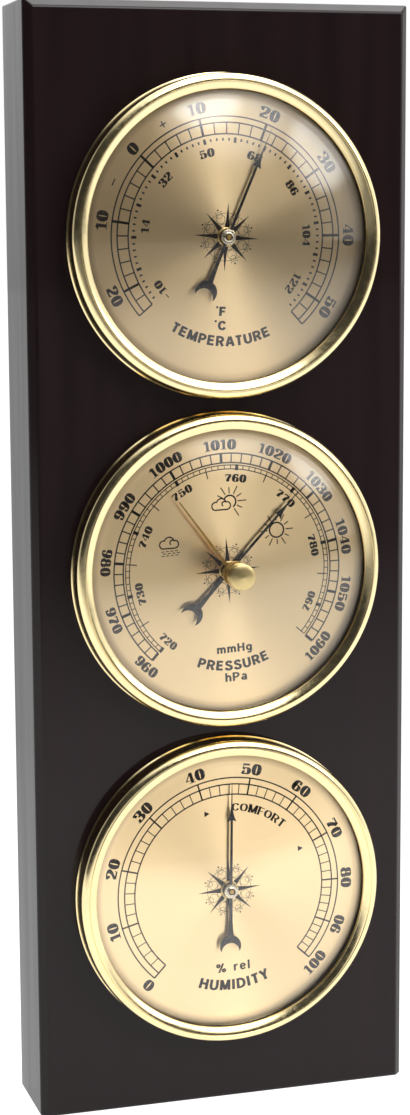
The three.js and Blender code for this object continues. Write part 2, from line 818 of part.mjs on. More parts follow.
// The four flank corners of a tooth on its centre angle; each half width is a share of the pitch.
function toothCorners(pitchRadius, teeth, centre) {
  const pitch = (2 * Math.PI) / teeth;
  const foot = pitchRadius - 1.15 * toothModule;
  const tip = pitchRadius + 0.85 * toothModule;
  const atPitch = (1 - BACKLASH) / 4;
  const atTip = atPitch * 0.5;
  const atFoot = atPitch * 1.25;
  return [
    polar(foot, centre - atFoot * pitch),
    polar(tip, centre - atTip * pitch),
    polar(tip, centre + atTip * pitch),
    polar(foot, centre + atFoot * pitch),
  ];
}

// The pinion has a gap, and not a tooth, on the line towards the sector.
function pinion() {
  const pitch = (2 * Math.PI) / pinionTeeth;
  const corners = Array.from({ length: pinionTeeth }, (_, index) =>
    toothCorners(pinionPitchRadius, pinionTeeth, bearing + pitch * (index + 0.5)),
  );
  return plate(polygon(corners.flat()), pinionFront, pinionBack);
}

function pinionStaff() {
  const outline = [
    [0, topPlateBack],
    [pivotRadius, topPlateBack],
    [pivotRadius, topPlateFront - SEAT],
    [staffRadius, topPlateFront - SEAT],
    ...staffFront(),
  ];
  const collet = rod(coilCollet - SEAT, hairspringFront, hairspringBack, SMALL);
  return join(turned(outline, 12), collet, pinion());
}

// The sector's travel to each side of its place in the photograph.
const travelUp = (scaleHalfSweep - barometerReading) / trainRatio;
const travelDown = (scaleHalfSweep + barometerReading) / trainRatio;

// A lightened sector with teeth on the stretch of its rim that meets the pinion.
function toothedSector() {
  const pitch = 360 / wheelTeeth;
  const teethBefore = Math.ceil(travelUp / pitch) + 1;
  const teethAfter = Math.ceil(travelDown / pitch) + 1;
  const toStaff = bearing + Math.PI;
  const first = toStaff - degrees(teethBefore * pitch);
  const corners = [];
  for (let index = 0; index <= teethBefore + teethAfter; index += 1) {
    corners.push(...toothCorners(wheelPitchRadius, wheelTeeth, first + degrees(index * pitch)));
  }
  const last = first + degrees((teethBefore + teethAfter) * pitch);
  const outline = [...corners, polar(sectorHub, last + Math.PI / 3), polar(sectorHub, first - Math.PI / 3)];
  const face = polygon(outline);
  const middle = (first + last) / 2;
  const spread = (last - first) / 2 - degrees(7);
  const window = new THREE.Path();
  window.moveTo(...polar(wheelPitchRadius * 0.4, middle));
  window.absarc(0, 0, wheelPitchRadius - sectorRim, middle + spread, middle - spread, true);
  window.closePath();
  face.holes.push(window);
  const front = sectorMiddle - sectorThickness / 2;
  const back = sectorMiddle + sectorThickness / 2;
  const tailEnd = -tailReach - 2 * leverFinger;
  const tail = block(tailEnd / 2, sectorMiddle, 0, -tailEnd, sectorThickness, 2 * tailHalfHeight);
  const staff = turned(
    [
      [0, bridgeFront],
      [pivotRadius, bridgeFront],
      [pivotRadius, bridgeBack + SEAT],
      [sectorHub, bridgeBack + SEAT],
      [sectorHub, topPlateFront - SEAT],
      [pivotRadius, topPlateFront - SEAT],
      [pivotRadius, topPlateBack],
      [0, topPlateBack],
    ],
    12,
  );
  return join(plate(face, front, back, 4), tail, staff);
}

// The front bridge spans both staffs on two legs, and holds the stud of the hairspring.
function frontBridge() {
  const farLeg = trainCentres + bridgeFar;
  const across = towardsPivot.clone().rotateAround(new THREE.Vector2(), Math.PI / 2);
  const outline = polygon(
    [
      [-bridgeNear - bridgeLeg, -bridgeHalfWidth],
      [farLeg + bridgeLeg, -bridgeHalfWidth],
      [farLeg + bridgeLeg, bridgeHalfWidth],
      [-bridgeNear - bridgeLeg, bridgeHalfWidth],
    ].map(([along, aside]) => {
      const corner = towardsPivot.clone().multiplyScalar(along).addScaledVector(across, aside);
      return [corner.x, corner.y];
    }),
  );
  const bar = plate(outline, bridgeFront, bridgeBack);
  const legs = [-bridgeNear, farLeg].map((along) =>
    rod(
      bridgeLeg,
      bridgeBack - footSunk,
      topPlateFront - SEAT,
      FINE,
      towardsPivot.x * along,
      towardsPivot.y * along,
    ),
  );
  const tube = rod(tubeOuter, tubeFront, bridgeBack, SMALL);
  const studZ = -(hairspringOuter + hairspringStrip / 2 + SEAT + staffRadius / 2);
  const stud = rod(staffRadius / 2, bridgeBack - footSunk, hairspringBack, FINE, 0, studZ);
  const studFoot = rod(staffRadius, bridgeBack - bridgeThickness, bridgeBack, FINE, 0, studZ);
  const lug = block(0, (bridgeFront + bridgeBack) / 2, studZ / 2, lugWidth, bridgeThickness, -studZ);
  const pivotBore = pivotRadius + RUNNING;
  const staffBore = rod(tubeBore, tubeFront - BEYOND, bridgeBack + BEYOND, SMALL);
  const sectorBore = rod(pivotBore, bridgeFront - BEYOND, bridgeBack + BEYOND, SMALL, sectorX, sectorZ);
  return cut(join(bar, ...legs, tube, lug, stud, studFoot), staffBore, sectorBore);
}

function pillarPlaces() {
  return [90, 210, 330].map((angle) => polar(pillarCircle, degrees(angle)));
}

const leverLeft = sectorX - tailReach - leverBeyond;

// The top plate carries both staffs, and the lever's shaft in two ears at its back.
function topPlate() {
  const disc = rod(plateRadius, topPlateFront, topPlateBack, MEDIUM);
  const cutFront = topPlateFront - BEYOND;
  const cutBack = topPlateBack + BEYOND;
  const earBack = leverAxis + leverShaftRadius + RUNNING + leverEarWall;
  const earDepth = earBack - topPlateFront;
  const ears = [leverLeft, leverRight].map((x) =>
    block(x, (topPlateFront + earBack) / 2, leverZ, leverEarThickness, earDepth, leverEarWidth),
  );
  const staffBore = rod(pivotRadius + RUNNING, cutFront, cutBack, SMALL);
  const sectorBore = rod(pivotRadius + RUNNING, cutFront, cutBack, SMALL, sectorX, sectorZ);
  const fingerSlot = block(
    sectorX - tailReach,
    (topPlateFront + topPlateBack) / 2,
    leverZ,
    2 * (leverFinger + SEAT),
    topPlateThickness + 2 * BEYOND,
    2 * (leverFinger + BEYOND),
  );
  const shaftBore = new THREE.CylinderGeometry(
    leverShaftRadius + RUNNING,
    leverShaftRadius + RUNNING,
    leverRight - leverLeft + 2 * BEYOND,
    12,
  );
  shaftBore.rotateZ(Math.PI / 2);
  shaftBore.translate((leverLeft + leverRight) / 2, leverAxis, leverZ);
  const windows = [45, 315, 235].map((angle) => {
    const [x, z] = polar(plateRadius * 0.55, degrees(angle));
    return rod(plateWindow, cutFront, cutBack, SMALL, x, z);
  });
  return cut(join(disc, ...ears), staffBore, sectorBore, fingerSlot, shaftBore, ...windows);
}

// The lever turns the capsule's small travel into a sideways push of its finger on the sector's tail.
function rockingLever() {
  const shaftLength = leverRight - leverLeft + 2 * leverShaftEnd;
  const shaft = new THREE.CylinderGeometry(leverShaftRadius, leverShaftRadius, shaftLength, 10);
  shaft.rotateZ(Math.PI / 2);
  shaft.translate((leverLeft + leverRight) / 2, leverAxis, leverZ);
  const bladeMiddle = (leverZ - leverBladeEnd) / 2;
  const blade = block(0, leverAxis, bladeMiddle, leverBladeWidth, leverBlade, leverZ + leverBladeEnd);
  const fingerFront = sectorMiddle - sectorThickness / 2 - SEAT;
  const finger = rod(leverFinger, fingerFront, leverAxis, FINE, sectorX - tailReach, leverZ);
  return join(shaft, blade, finger);
}

// Two corrugated diaphragms on one rim, with a sleeve for the post and a threaded boss.
function capsule() {
  const sleeveBore = postRadius + RUNNING;
  const sleeveOuter = sleeveBore + sleeveWall;
  const floor = capsuleFront + sleeveDepth;
  const adjusterBore = adjusterShank + RUNNING;
  const waveStart = sleeveOuter + capsuleFlat;
  const waveEnd = capsuleRadius - capsuleFlat;
  const waveSteps = capsuleWaves * 2;
  const waves = Array.from({ length: waveSteps + 1 }, (_, step) => {
    const radius = waveStart + ((waveEnd - waveStart) * step) / waveSteps;
    return [radius, step % 2 ? capsuleWave * 2 : 0];
  });
  const outline = [
    [0, floor],
    [sleeveBore, floor],
    [sleeveBore, sleeveFront],
    [sleeveOuter, sleeveFront],
    [sleeveOuter, capsuleFront],
    ...waves.map(([radius, depth]) => [radius, capsuleFront + depth]),
    [capsuleRadius, capsuleFront + 2 * capsuleWave],
    [capsuleRadius, capsuleBack - 2 * capsuleWave],
    ...waves.map(([radius, depth]) => [radius, capsuleBack - depth]).reverse(),
    [bossRadius, capsuleBack],
    [bossRadius, bossBack],
    [adjusterBore, bossBack],
    [adjusterBore, adjusterEnd - SEAT],
    [0, adjusterEnd - SEAT],
  ];
  return turned(outline, 20);
}

function capsulePost() {
  return rod(postRadius, postFront, capsuleFront + sleeveDepth / 2, 12);
}

function basePlate() {
  const disc = rod(plateRadius, basePlateFront, basePlateBack, MEDIUM);
  const cutFront = basePlateFront - BEYOND;
  const cutBack = basePlateBack + BEYOND;
  const centre = rod(adjusterShank + RUNNING, cutFront, cutBack, SMALL);
  const screwHoles = [-1, 1].map((side) =>
    rod(baseScrewShank + SEAT, cutFront, cutBack, FINE, (side * baseScrewSpacing) / 2),
  );
  return cut(disc, centre, ...screwHoles);
}

const adjusterFront = basePlateBack + SEAT;
const adjusterEnd = adjusterFront - adjusterReach;

// The adjusting screw draws the capsule back and forth, and so sets the needle to the local reading.
function adjustingScrew() {
  const headBack = adjusterFront + adjusterHeadHeight;
  const head = rod(adjusterHead, adjusterFront, headBack, SMALL);
  const shank = rod(adjusterShank, adjusterEnd, adjusterFront + footSunk, 10);
  const slot = block(0, headBack, 0, 4 * adjusterHead, 2 * driverSlotDepth, driverSlotWidth);
  return cut(join(head, shank), slot);
}

function baseScrew() {
  const outline = [
    [0, basePlateFront],
    [baseScrewShank, basePlateFront],
    [baseScrewShank, caseBack + SEAT],
    [baseScrewHead, caseBack + SEAT],
    [baseScrewHead * 0.75, caseBack + SEAT + baseScrewHeadHeight],
    [0, caseBack + SEAT + baseScrewHeadHeight],
  ];
  return turned(outline, 10);
}

// Set hand, turned from outside by a knob whose spindle runs through the glass

const bushInnerFace = glassCeiling + SEAT;
const bushOuterFace = glassCrown - SEAT;
const knobBack = bushOuterFace - bushFlangeThickness - SEAT;
const setHandBack = hubFront - setHandLift;
const setHandFront = setHandBack - needleThickness;

function glassBush() {
  const outline = [
    [bushBore, bushInnerFace + bushFlangeThickness],
    [bushBore, bushOuterFace - bushFlangeThickness],
    [bushFlange * 0.8, bushOuterFace - bushFlangeThickness],
    [bushFlange, bushOuterFace],
    [bushOuter, bushOuterFace],
    [bushOuter, bushInnerFace],
    [bushFlange, bushInnerFace],
    [bushFlange, bushInnerFace + bushFlangeThickness],
  ];
  return turned(outline, SMALL);
}

// A turned knob with a shallow cone for its face and a grooved side, on its spindle.
function setKnob() {
  const front = knobBack - knobLength;
  const spindleEnd = setHandBack + SEAT;
  const outline = [
    [0, spindleEnd],
    [spindleRadius, spindleEnd],
    [spindleRadius, knobBack],
    [knobRadius - knobGroove, knobBack],
    [knobRadius, knobBack - knobGroove],
    [knobRadius, knobBack - knobLength * 0.45],
    [knobRadius - knobGroove, knobBack - knobLength * 0.5],
    [knobRadius, knobBack - knobLength * 0.55],
    [knobRadius, front + knobCone + knobGroove],
    [knobRadius - knobGroove, front + knobCone],
    [0, front],
  ];
  return turned(outline, 24);
}

function setHand() {
  const outline = polygon([
    [-setHandRootHalfWidth, 0],
    [-setHandTipHalfWidth, setHandReach],
    [setHandTipHalfWidth, setHandReach],
    [setHandRootHalfWidth, 0],
  ]);
  const bore = spindleRadius + SEAT;
  const hub = rod(bore + setHandHub, setHandFront - setHandHub, setHandBack, SMALL);
  const bar = join(plate(outline, setHandFront, setHandBack), hub);
  return cut(bar, rod(bore, setHandFront - setHandHub - BEYOND, setHandBack + BEYOND, SMALL));
}

function addBarometer() {
  const group = new THREE.Group();
  group.position.set(0, -boardThickness, boardMiddle);
  group.rotation.y = degrees(barometerTurn);
  root.add(group);
  const screwHoles = [-1, 1].map((side) =>
    backHole(baseScrewShank + SEAT, (side * baseScrewSpacing) / 2),
  );
  addShell(group, "barometer", bushOuter + SEAT, [backHole(adjusterHole), ...screwHoles]);
  addPiece(group, "base_plate", "brass", basePlate());
  pillarPlaces().forEach(([x, z], index) => {
    const pillar = rod(pillarRadius, topPlateBack + SEAT, basePlateFront - SEAT, 10);
    addPiece(group, `pillar_${index + 1}`, "brass", pillar).position.set(x, 0, z);
  });
  addPiece(group, "top_plate", "brass", topPlate());
  addPiece(group, "front_bridge", "brass", frontBridge());
  addPiece(group, "aneroid_capsule", "brass", capsule());
  addPiece(group, "capsule_post", "steel", capsulePost());
  addPiece(group, "rocking_lever", "steel", rockingLever());
  const sector = addPiece(group, "toothed_sector", "brass", toothedSector());
  sector.position.set(sectorX, 0, sectorZ);
  addPiece(group, "pinion_staff", "steel", pinionStaff());
  const hairspring = spiralStrip(
    hairspringInner,
    hairspringOuter,
    hairspringTurns,
    hairspringStrip,
    hairspringFront,
    hairspringBack,
    12,
  );
  console.log(`hairspring least gap ${leastTurnGap(hairspring, hairspringStrip).toFixed(2)} mm`);
  addPiece(group, "hairspring", "steel", hairspring);
  addPiece(group, "adjusting_screw", "brass", adjustingScrew());
  for (const [name, side] of [["left", -1], ["right", 1]]) {
    const screw = addPiece(group, `base_screw_${name}`, "steel", baseScrew());
    screw.position.x = (side * baseScrewSpacing) / 2;
  }
  addNeedle(group, "barometer", barometerReading);
  addPiece(group, "glass_bush", "gold", glassBush());
  addPiece(group, "set_knob", "gold", setKnob());
  const hand = addPiece(group, "set_hand", "gold", setHand());
  hand.rotation.y = degrees(setHandReading);
}

addBoard();
addCoilInstrument("thermometer", "bimetal_coil", "bimetal", 1, thermometerTurn, thermometerReading);
addBarometer();
addCoilInstrument("hygrometer", "humidity_coil", "hairCoil", -1, hygrometerTurn, hygrometerReading);

export default root;
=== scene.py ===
from math import cos, hypot, pi, radians, sin, sqrt, tau

import bmesh
import bpy
from bpy.props import FloatProperty, FloatVectorProperty, PointerProperty
from bpy.types import NodeSocket, Operator, Panel, PropertyGroup, Scene
from mathutils import Matrix, Vector


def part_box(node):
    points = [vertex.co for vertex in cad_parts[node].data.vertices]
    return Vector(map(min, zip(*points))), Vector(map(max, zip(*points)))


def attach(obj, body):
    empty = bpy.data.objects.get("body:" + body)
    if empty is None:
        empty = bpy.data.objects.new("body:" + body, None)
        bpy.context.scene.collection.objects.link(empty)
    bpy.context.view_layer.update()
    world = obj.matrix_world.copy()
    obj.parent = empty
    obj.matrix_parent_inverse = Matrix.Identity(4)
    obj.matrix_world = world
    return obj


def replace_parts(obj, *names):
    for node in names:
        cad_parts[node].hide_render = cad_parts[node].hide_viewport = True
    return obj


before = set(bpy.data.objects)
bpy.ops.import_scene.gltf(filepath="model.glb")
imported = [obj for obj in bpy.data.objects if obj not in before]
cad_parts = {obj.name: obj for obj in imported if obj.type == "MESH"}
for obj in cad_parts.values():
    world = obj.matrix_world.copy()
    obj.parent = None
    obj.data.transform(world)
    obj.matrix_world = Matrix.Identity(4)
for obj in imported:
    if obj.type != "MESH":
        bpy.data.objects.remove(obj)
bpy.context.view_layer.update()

bl_info = {
    "name": "Wall barometer",
    "version": (1, 0, 0),
    "blender": (4, 5, 0),
    "location": "3D Viewport > Sidebar > Barometer",
    "description": "Dresses the lacquered board and its thermometer, barometer and hygrometer",
    "category": "Object",
}

MM = 0.001

# How far each instrument is turned in its bore, and its needle on the dial, in degrees clockwise.
INSTRUMENTS = {"thermometer": (3.8, 19.6), "barometer": (-3.4, 46.6), "hygrometer": (-2.9, 3.7)}
SET_HAND_ANGLE = -33.2
HALF_SWEEP = 134
# What stands at the top of a scale, and how many degrees round the dial one unit takes.
CELSIUS_AT_TOP, TURN_PER_CELSIUS = 15, 3.433
HECTOPASCAL_AT_TOP, TURN_PER_HECTOPASCAL = 1010, 2.683
FREEZING_FAHRENHEIT, FAHRENHEIT_PER_CELSIUS = 32, 1.8
HECTOPASCAL_PER_MERCURY = 1.333224
# Bearings of the humidity scale's tens, which draw together towards its damp end.
HUMIDITY_TENS = (-134, -102.2, -72.2, -42.5, -13.5, 14.1, 40.9, 67.0, 92.3, 115.0, 135.8)

# Depths behind the board's face, below zero in front of it, and radii, in millimetres, as the
# solids have them.
DIAL_FACE = -3.0
DIAL_EDGE = 38.4
BEARING_TUBE = 1.9
GLASS_EDGE = 38.6
DOME_EDGE = 36.0
GLASS_BACK = -4.4
GLASS_FRONT = -5.3
GLASS_WALL = 1.2
DOME_CROWN = -11.5
DOME_CEILING = -10.3
BUSH_HOLE = 2.3
BEZEL_BORE = 39.2
BEZEL_FRONT = -7.0
NEEDLE_BACK = -4.4
NEEDLE_FRONT = -4.7
CASE_BACK = 22.0
SET_HAND_BACK = -6.1
SET_HAND_FRONT = -6.4
KNOB_BACK = -12.9

# How far a dial's brushed face and the print on it stand off the dial plate, in millimetres.
DIAL_SHEET = 0.025
PRINT_LIFT = 0.04


def colour(red, green, blue):
    """A linear colour from its 0 to 255 screen values."""
    def linear(value):
        value /= 255
        return value / 12.92 if value <= 0.04045 else ((value + 0.055) / 1.055) ** 2.4
    return (linear(red), linear(green), linear(blue))


def tone(name, description, screen):
    """A setting for a colour, from its 0 to 255 screen values."""
    return FloatVectorProperty(name=name, description=description, subtype="COLOR",
                               size=3, min=0, max=1, default=colour(*screen))


def length(name, description, millimetres):
    """A setting for a length, from its value in millimetres."""
    return FloatProperty(name=name, description=description, subtype="DISTANCE", unit="LENGTH",
                         precision=5, min=0, default=millimetres * MM)


class BoardSettings(PropertyGroup):
    """Sizes and colours of the board."""

    lacquer: tone("Lacquer", "Darkest tone of the lacquer", (17, 8, 9))
    grain: tone("Grain", "Tone of the grain under the lacquer", (22, 11, 12))
    softness: length("Edge softness", "Radius rubbed onto the edges of the board", 0.5)


class BezelSettings(PropertyGroup):
    """Sizes and colours of the three gold bezels."""

    radius: length("Radius", "Outer radius of the bezel wall", 40.2)
    roll: length("Roll", "Radius of the rolled front edge", 1.8)
    window: length("Window", "Radius of the opening over the dial", 36.3)
    groove: length("Groove", "Depth of the groove behind the roll", 0.12)
    gold: tone("Gold", "Colour of the polished bezel", (251, 231, 178))


class DialSettings(PropertyGroup):
    """Sizes and colours of the printed dials."""

    champagne: tone("Champagne", "Colour of the brushed dial", (250, 222, 173))
    ink: tone("Ink", "Colour of the print", (24, 15, 9))
    numeral: length("Numerals", "Height of the large numerals", 2.7)
    line: length("Lines", "Width of the scale lines", 0.35)


class HandSettings(PropertyGroup):
    """Sizes and colours of the hands and the knob."""

    reach: length("Needle reach", "Length of a needle from its hub to its point", 28.9)
    black: tone("Needle", "Colour of the needles", (15, 13, 12))
    set_reach: length("Set hand reach", "Length of the set hand", 23)
    brass: tone("Brass", "Colour of the set hand and its knob", (210, 188, 134))


class StageSettings(PropertyGroup):
    """The studio round the instrument."""

    floor: tone("Floor", "Colour of the floor", (244, 244, 244))
    lamps: FloatProperty(name="Lamps", description="Level of all lamps together",
                         min=0, default=1, subtype="FACTOR")


def settings(part):
    return getattr(bpy.context.scene, "barometer_" + part)


# Finishes

class Nodes:
    """The nodes of a finish or of the studio."""

    def __init__(self, tree):
        self.tree = tree

    def plug(self, node, inputs):
        """Gives the inputs of a node plain values or the outputs of other nodes."""
        for socket, value in inputs.items():
            if isinstance(value, NodeSocket):
                self.tree.links.new(value, node.inputs[socket])
            else:
                node.inputs[socket].default_value = value

    def node(self, kind, inputs=None, **choices):
        made = self.tree.nodes.new("ShaderNode" + kind)
        for name, value in choices.items():
            setattr(made, name, value)
        self.plug(made, inputs or {})
        return made

    def spread(self, source, low, high, start=0.3, end=0.7, interpolation="LINEAR"):
        """Low to high, as the source runs from start to end."""
        ranged = self.node("MapRange", {
            "Value": source, "From Min": start, "From Max": end, "To Min": low, "To Max": high},
            interpolation_type=interpolation)
        return ranged.outputs["Result"]

    def maths(self, operation, *terms):
        """The outcome of one operation on outputs and plain numbers."""
        return self.node("Math", dict(enumerate(terms)), operation=operation).outputs[0]


class Finish(Nodes):
    """A material built up from nodes round one shader."""

    def __init__(self, name, base, roughness, metallic=0.0, shader=None):
        self.material = bpy.data.materials.new(name)
        self.material.use_nodes = True
        super().__init__(self.material.node_tree)
        self.shader = self.tree.nodes["Principled BSDF"]
        self.roughness = roughness
        self.plug(self.shader, {"Base Color": (*base, 1), "Roughness": roughness,
                                "Metallic": metallic, **(shader or {})})
        self.place = self.node("TexCoord").outputs["Object"]

    def noise(self, scale, stretch=(1, 1, 1), detail=3):
        mapping = self.node("Mapping", {"Vector": self.place, "Scale": stretch})
        noise = self.node("TexNoise", {
            "Vector": mapping.outputs["Vector"], "Scale": scale, "Detail": detail})
        return noise.outputs["Fac"]

    def pattern(self, source):
        """A pattern as it is, or for a plain number clouds of that scale."""
        return self.noise(source) if isinstance(source, (int, float)) else source

    def distance_from_axis(self):
        """Distance from the instrument's own axis, for marks that run round it."""
        flat = self.node("VectorMath", {0: self.place, 1: (1, 0, 1)}, operation="MULTIPLY")
        away = self.node("VectorMath", {0: flat.outputs["Vector"]}, operation="LENGTH")
        return away.outputs["Value"]

    def rings(self, scale, detail=2):
        """Fine turning marks round the axis."""
        rings = self.node("TexNoise", {
            "W": self.distance_from_axis(), "Scale": scale, "Detail": detail},
            noise_dimensions="1D")
        return rings.outputs["Fac"]

    def brushed_round(self, share):
        """Stretches reflections across marks that run round the axis."""
        tangent = self.node("Tangent", direction_type="RADIAL", axis="Y")
        self.plug(self.shader, {"Anisotropic": share, "Anisotropic Rotation": 0.25,
                                "Tangent": tangent.outputs["Tangent"]})

    def tint(self, source, other, start=0.3, end=0.7, blend="MIX"):
        """Blends another colour over the one so far, as a pattern runs from start to end."""
        base = self.shader.inputs["Base Color"]
        mix = self.node("Mix", {
            "A": base.links[0].from_socket if base.is_linked else base.default_value,
            "B": (*other, 1), "Factor": self.spread(self.pattern(source), 0, 1, start, end)},
            data_type="RGBA", blend_type=blend)
        self.plug(self.shader, {"Base Color": mix.outputs["Result"]})

    def wear(self, source, amount):
        """Lets the roughness vary with a pattern."""
        smooth, rough = max(self.roughness - amount, 0.02), self.roughness + amount
        ranged = self.spread(self.pattern(source), smooth, rough)
        self.plug(self.shader, {"Roughness": ranged})

    def relief(self, source, strength, depth=0.01):
        """Raises a pattern from the surface, by a depth in millimetres."""
        bump = self.node("Bump", {
            "Height": self.pattern(source), "Strength": strength, "Distance": depth * MM})
        self.plug(self.shader, {"Normal": bump.outputs["Normal"]})

    def cover(self, share, other):
        """Lays a share of another shader over this one's own."""
        mix = self.node("MixShader", {"Fac": share, 1: self.shader.outputs["BSDF"], 2: other})
        self.plug(self.tree.nodes["Material Output"], {"Surface": mix.outputs["Shader"]})


def darker(base, share):
    return tuple(channel * share for channel in base)


def paler(base, step=0.006):
    return tuple(channel + step for channel in base)


def metal(name, screen, roughness, scale=900):
    """Plain sheet or turned metal with faint clouding and fine scratches."""
    base = colour(*screen)
    finish = Finish(name, base, roughness, metallic=1)
    finish.tint(scale * 0.25, darker(base, 0.82))
    finish.wear(scale, 0.09)
    finish.relief(finish.noise(scale * 3, (1, 1, 0.12)), 0.1, 0.02)
    return finish.material


def spun_zinc():
    """Plated sheet spun on a lathe, with fine rings round the middle of the case."""
    zinc = colour(182, 183, 180)
    finish = Finish("spun_zinc", zinc, 0.38, metallic=1)
    finish.brushed_round(0.75)
    rings = finish.rings(3500)
    finish.tint(90, darker(zinc, 0.84))
    finish.wear(rings, 0.1)
    finish.relief(rings, 0.25)
    return finish.material


def lacquer():
    """Near black lacquer over an upright grain, under a polished coat."""
    board = settings("board")
    finish = Finish("black_brown_lacquer", board.lacquer, 0.4, shader={
        "Coat Weight": 0.37, "Coat Roughness": 0.05, "Specular IOR Level": 0.06})
    grain = finish.noise(160, (1, 1, 0.06), 5)
    finish.tint(grain, board.grain)
    finish.wear(grain, 0.06)
    finish.relief(300, 0.015, 0.03)
    return finish.material


def polished_gold():
    """Gold plate polished on the lathe, with faint clouding."""
    gold = settings("bezel").gold
    finish = Finish("polished_gold", gold, 0.17, metallic=1)
    finish.tint(60, darker(gold, 0.9))
    finish.wear(700, 0.05)
    finish.relief(finish.rings(9000), 0.05)
    return finish.material


def brushed_champagne():
    """Dial metal brushed in circles, so that light gathers in soft rays from its centre, with
    painted shade darkening its edge.
    """
    champagne = settings("dial").champagne
    finish = Finish("brushed_champagne", champagne, 0.29, metallic=0.98)
    finish.brushed_round(0.92)
    rings = finish.rings(6000, 4)
    finish.tint(rings, darker(champagne, 0.97))
    # Painted shade: the dial's colour is darkened towards its edge, standing in for the shade of
    # the bezel.
    finish.tint(finish.distance_from_axis(), (0.16, 0.12, 0.09), 33.8 * MM, 37.7 * MM, "MULTIPLY")
    finish.wear(rings, 0.015)
    finish.relief(rings, 0.016)
    return finish.material


def printing_ink():
    """Near black ink with a faint sheen."""
    ink = settings("dial").ink
    finish = Finish("printing_ink", ink, 0.35, shader={"Specular IOR Level": 0.25})
    finish.tint(2500, paler(ink))
    finish.wear(1500, 0.08)
    return finish.material


def painted_black():
    """Thin black paint on stamped sheet."""
    black = settings("hand").black
    finish = Finish("painted_black", black, 0.3)
    finish.tint(900, paler(black))
    finish.wear(1200, 0.06)
    finish.relief(3000, 0.04)
    return finish.material


def pale_brass():
    """Bare brass with fine turning marks."""
    brass = settings("hand").brass
    finish = Finish("pale_brass", brass, 0.3, metallic=1)
    rings = finish.rings(8000)
    finish.tint(500, darker(brass, 0.92))
    finish.wear(rings, 0.05)
    finish.relief(rings, 0.05)
    return finish.material


def clear_glass():
    """Clear glass whose shadow side lets the lamps through to the dial."""
    finish = Finish("clear_glass", (1, 1, 1), 0.0, shader={
        "Transmission Weight": 1.0, "IOR": 1.46, "Specular IOR Level": 0.3})
    finish.plug(finish.shader, {"Roughness": finish.spread(finish.noise(45), 0.0, 0.035)})
    through = finish.node("BsdfTransparent", {"Color": (0.97, 0.97, 0.965, 1)})
    finish.cover(finish.node("LightPath").outputs["Is Shadow Ray"], through.outputs["BSDF"])
    return finish.material


def seal_rubber():
    """Matt black rubber."""
    finish = Finish("seal_rubber", colour(32, 31, 30), 0.75)
    finish.tint(1800, colour(44, 43, 41))
    finish.relief(2600, 0.2, 0.03)
    return finish.material


def finish_named(name, make):
    """A finish that several operators share, made by the first one to ask for it."""
    return bpy.data.materials.get(name) or make()


# Meshes

def linked(name, data):
    """An object made from its data, in the scene."""
    made = bpy.data.objects.new(name, data)
    bpy.context.scene.collection.objects.link(made)
    return made


def piece_of(name, points, faces, material, slot):
    """Links a mesh of points in millimetres into the scene, with one material."""
    mesh = bpy.data.meshes.new(name)
    mesh.from_pydata([(x * MM, y * MM, z * MM) for x, y, z in points], [], faces)
    mesh.materials.append(material)
    piece = linked(name, mesh)
    return piece


def shade(piece, crease=35):
    """Smooth shading that stops at edges sharper than the crease."""
    work = bmesh.new()
    work.from_mesh(piece.data)
    bmesh.ops.recalc_face_normals(work, faces=work.faces)
    limit = radians(crease)
    for face in work.faces:
        face.smooth = True
    for edge in work.edges:
        edge.smooth = len(edge.link_faces) == 2 and edge.calc_face_angle() < limit
    work.to_mesh(piece.data)
    work.free()
    return piece


def turned(outline, sides=160):
    """Points and faces of a closed outline of (radius, depth) turned about the axis."""
    points, faces, rings = [], [], []
    for radius, depth in outline:
        count = sides if radius else 1
        rings.append(range(len(points), len(points) + count))
        for index in range(count):
            angle = tau * index / sides
            points.append((radius * sin(angle), depth, radius * cos(angle)))
    for first, second in zip(rings, [*rings[1:], rings[0]]):
        if len(first) == 1 and len(second) == 1:
            continue
        for index in range(sides):
            quad = (first[index % len(first)], first[(index + 1) % len(first)],
                    second[(index + 1) % len(second)], second[index % len(second)])
            faces.append(tuple(dict.fromkeys(quad)))
    return points, faces


def blade(outline, front, back):
    """Points and faces of a flat outline of (right, up) corners between two depths."""
    count = len(outline)
    points = [(x, front, z) for x, z in outline] + [(x, back, z) for x, z in outline]
    faces = [tuple(range(count)), tuple(reversed(range(count, 2 * count)))]
    faces += [(index, (index + 1) % count, (index + 1) % count + count, index + count)
              for index in range(count)]
    return points, faces


def together(*meshes):
    """Several lists of points and faces as one."""
    points, faces = [], []
    for more_points, more_faces in meshes:
        start = len(points)
        points += more_points
        faces += [tuple(index + start for index in face) for face in more_faces]
    return points, faces


def arc(centre_x, centre_y, radius, start, end, steps):
    """Corners along an arc, counterclockwise angles in degrees."""
    angles = [radians(start + (end - start) * step / steps) for step in range(steps + 1)]
    return [(centre_x + radius * cos(a), centre_y + radius * sin(a)) for a in angles]


def rubbed(name, solid, softness, material):
    """A copy of a solid with its edges rubbed round, which takes the solid's place."""
    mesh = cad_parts[solid].data.copy()
    work = bmesh.new()
    work.from_mesh(mesh)
    bmesh.ops.remove_doubles(work, verts=work.verts, dist=0.002 * MM)
    bmesh.ops.dissolve_limit(work, angle_limit=radians(0.5), verts=work.verts,
                             edges=work.edges)
    sharp = [edge for edge in work.edges
             if len(edge.link_faces) == 2 and edge.calc_face_angle() > radians(25)]
    rims = bmesh.ops.bevel(work, geom=sharp, offset=softness, segments=3, profile=0.5,
                           affect="EDGES", clamp_overlap=True)
    for face in work.faces:
        face.smooth = False
    for face in rims["faces"]:
        face.smooth = True
    work.to_mesh(mesh)
    work.free()
    mesh.materials.clear()
    mesh.materials.append(material)
    piece = linked(name, mesh)
    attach(piece, "housing")
    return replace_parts(piece, solid)


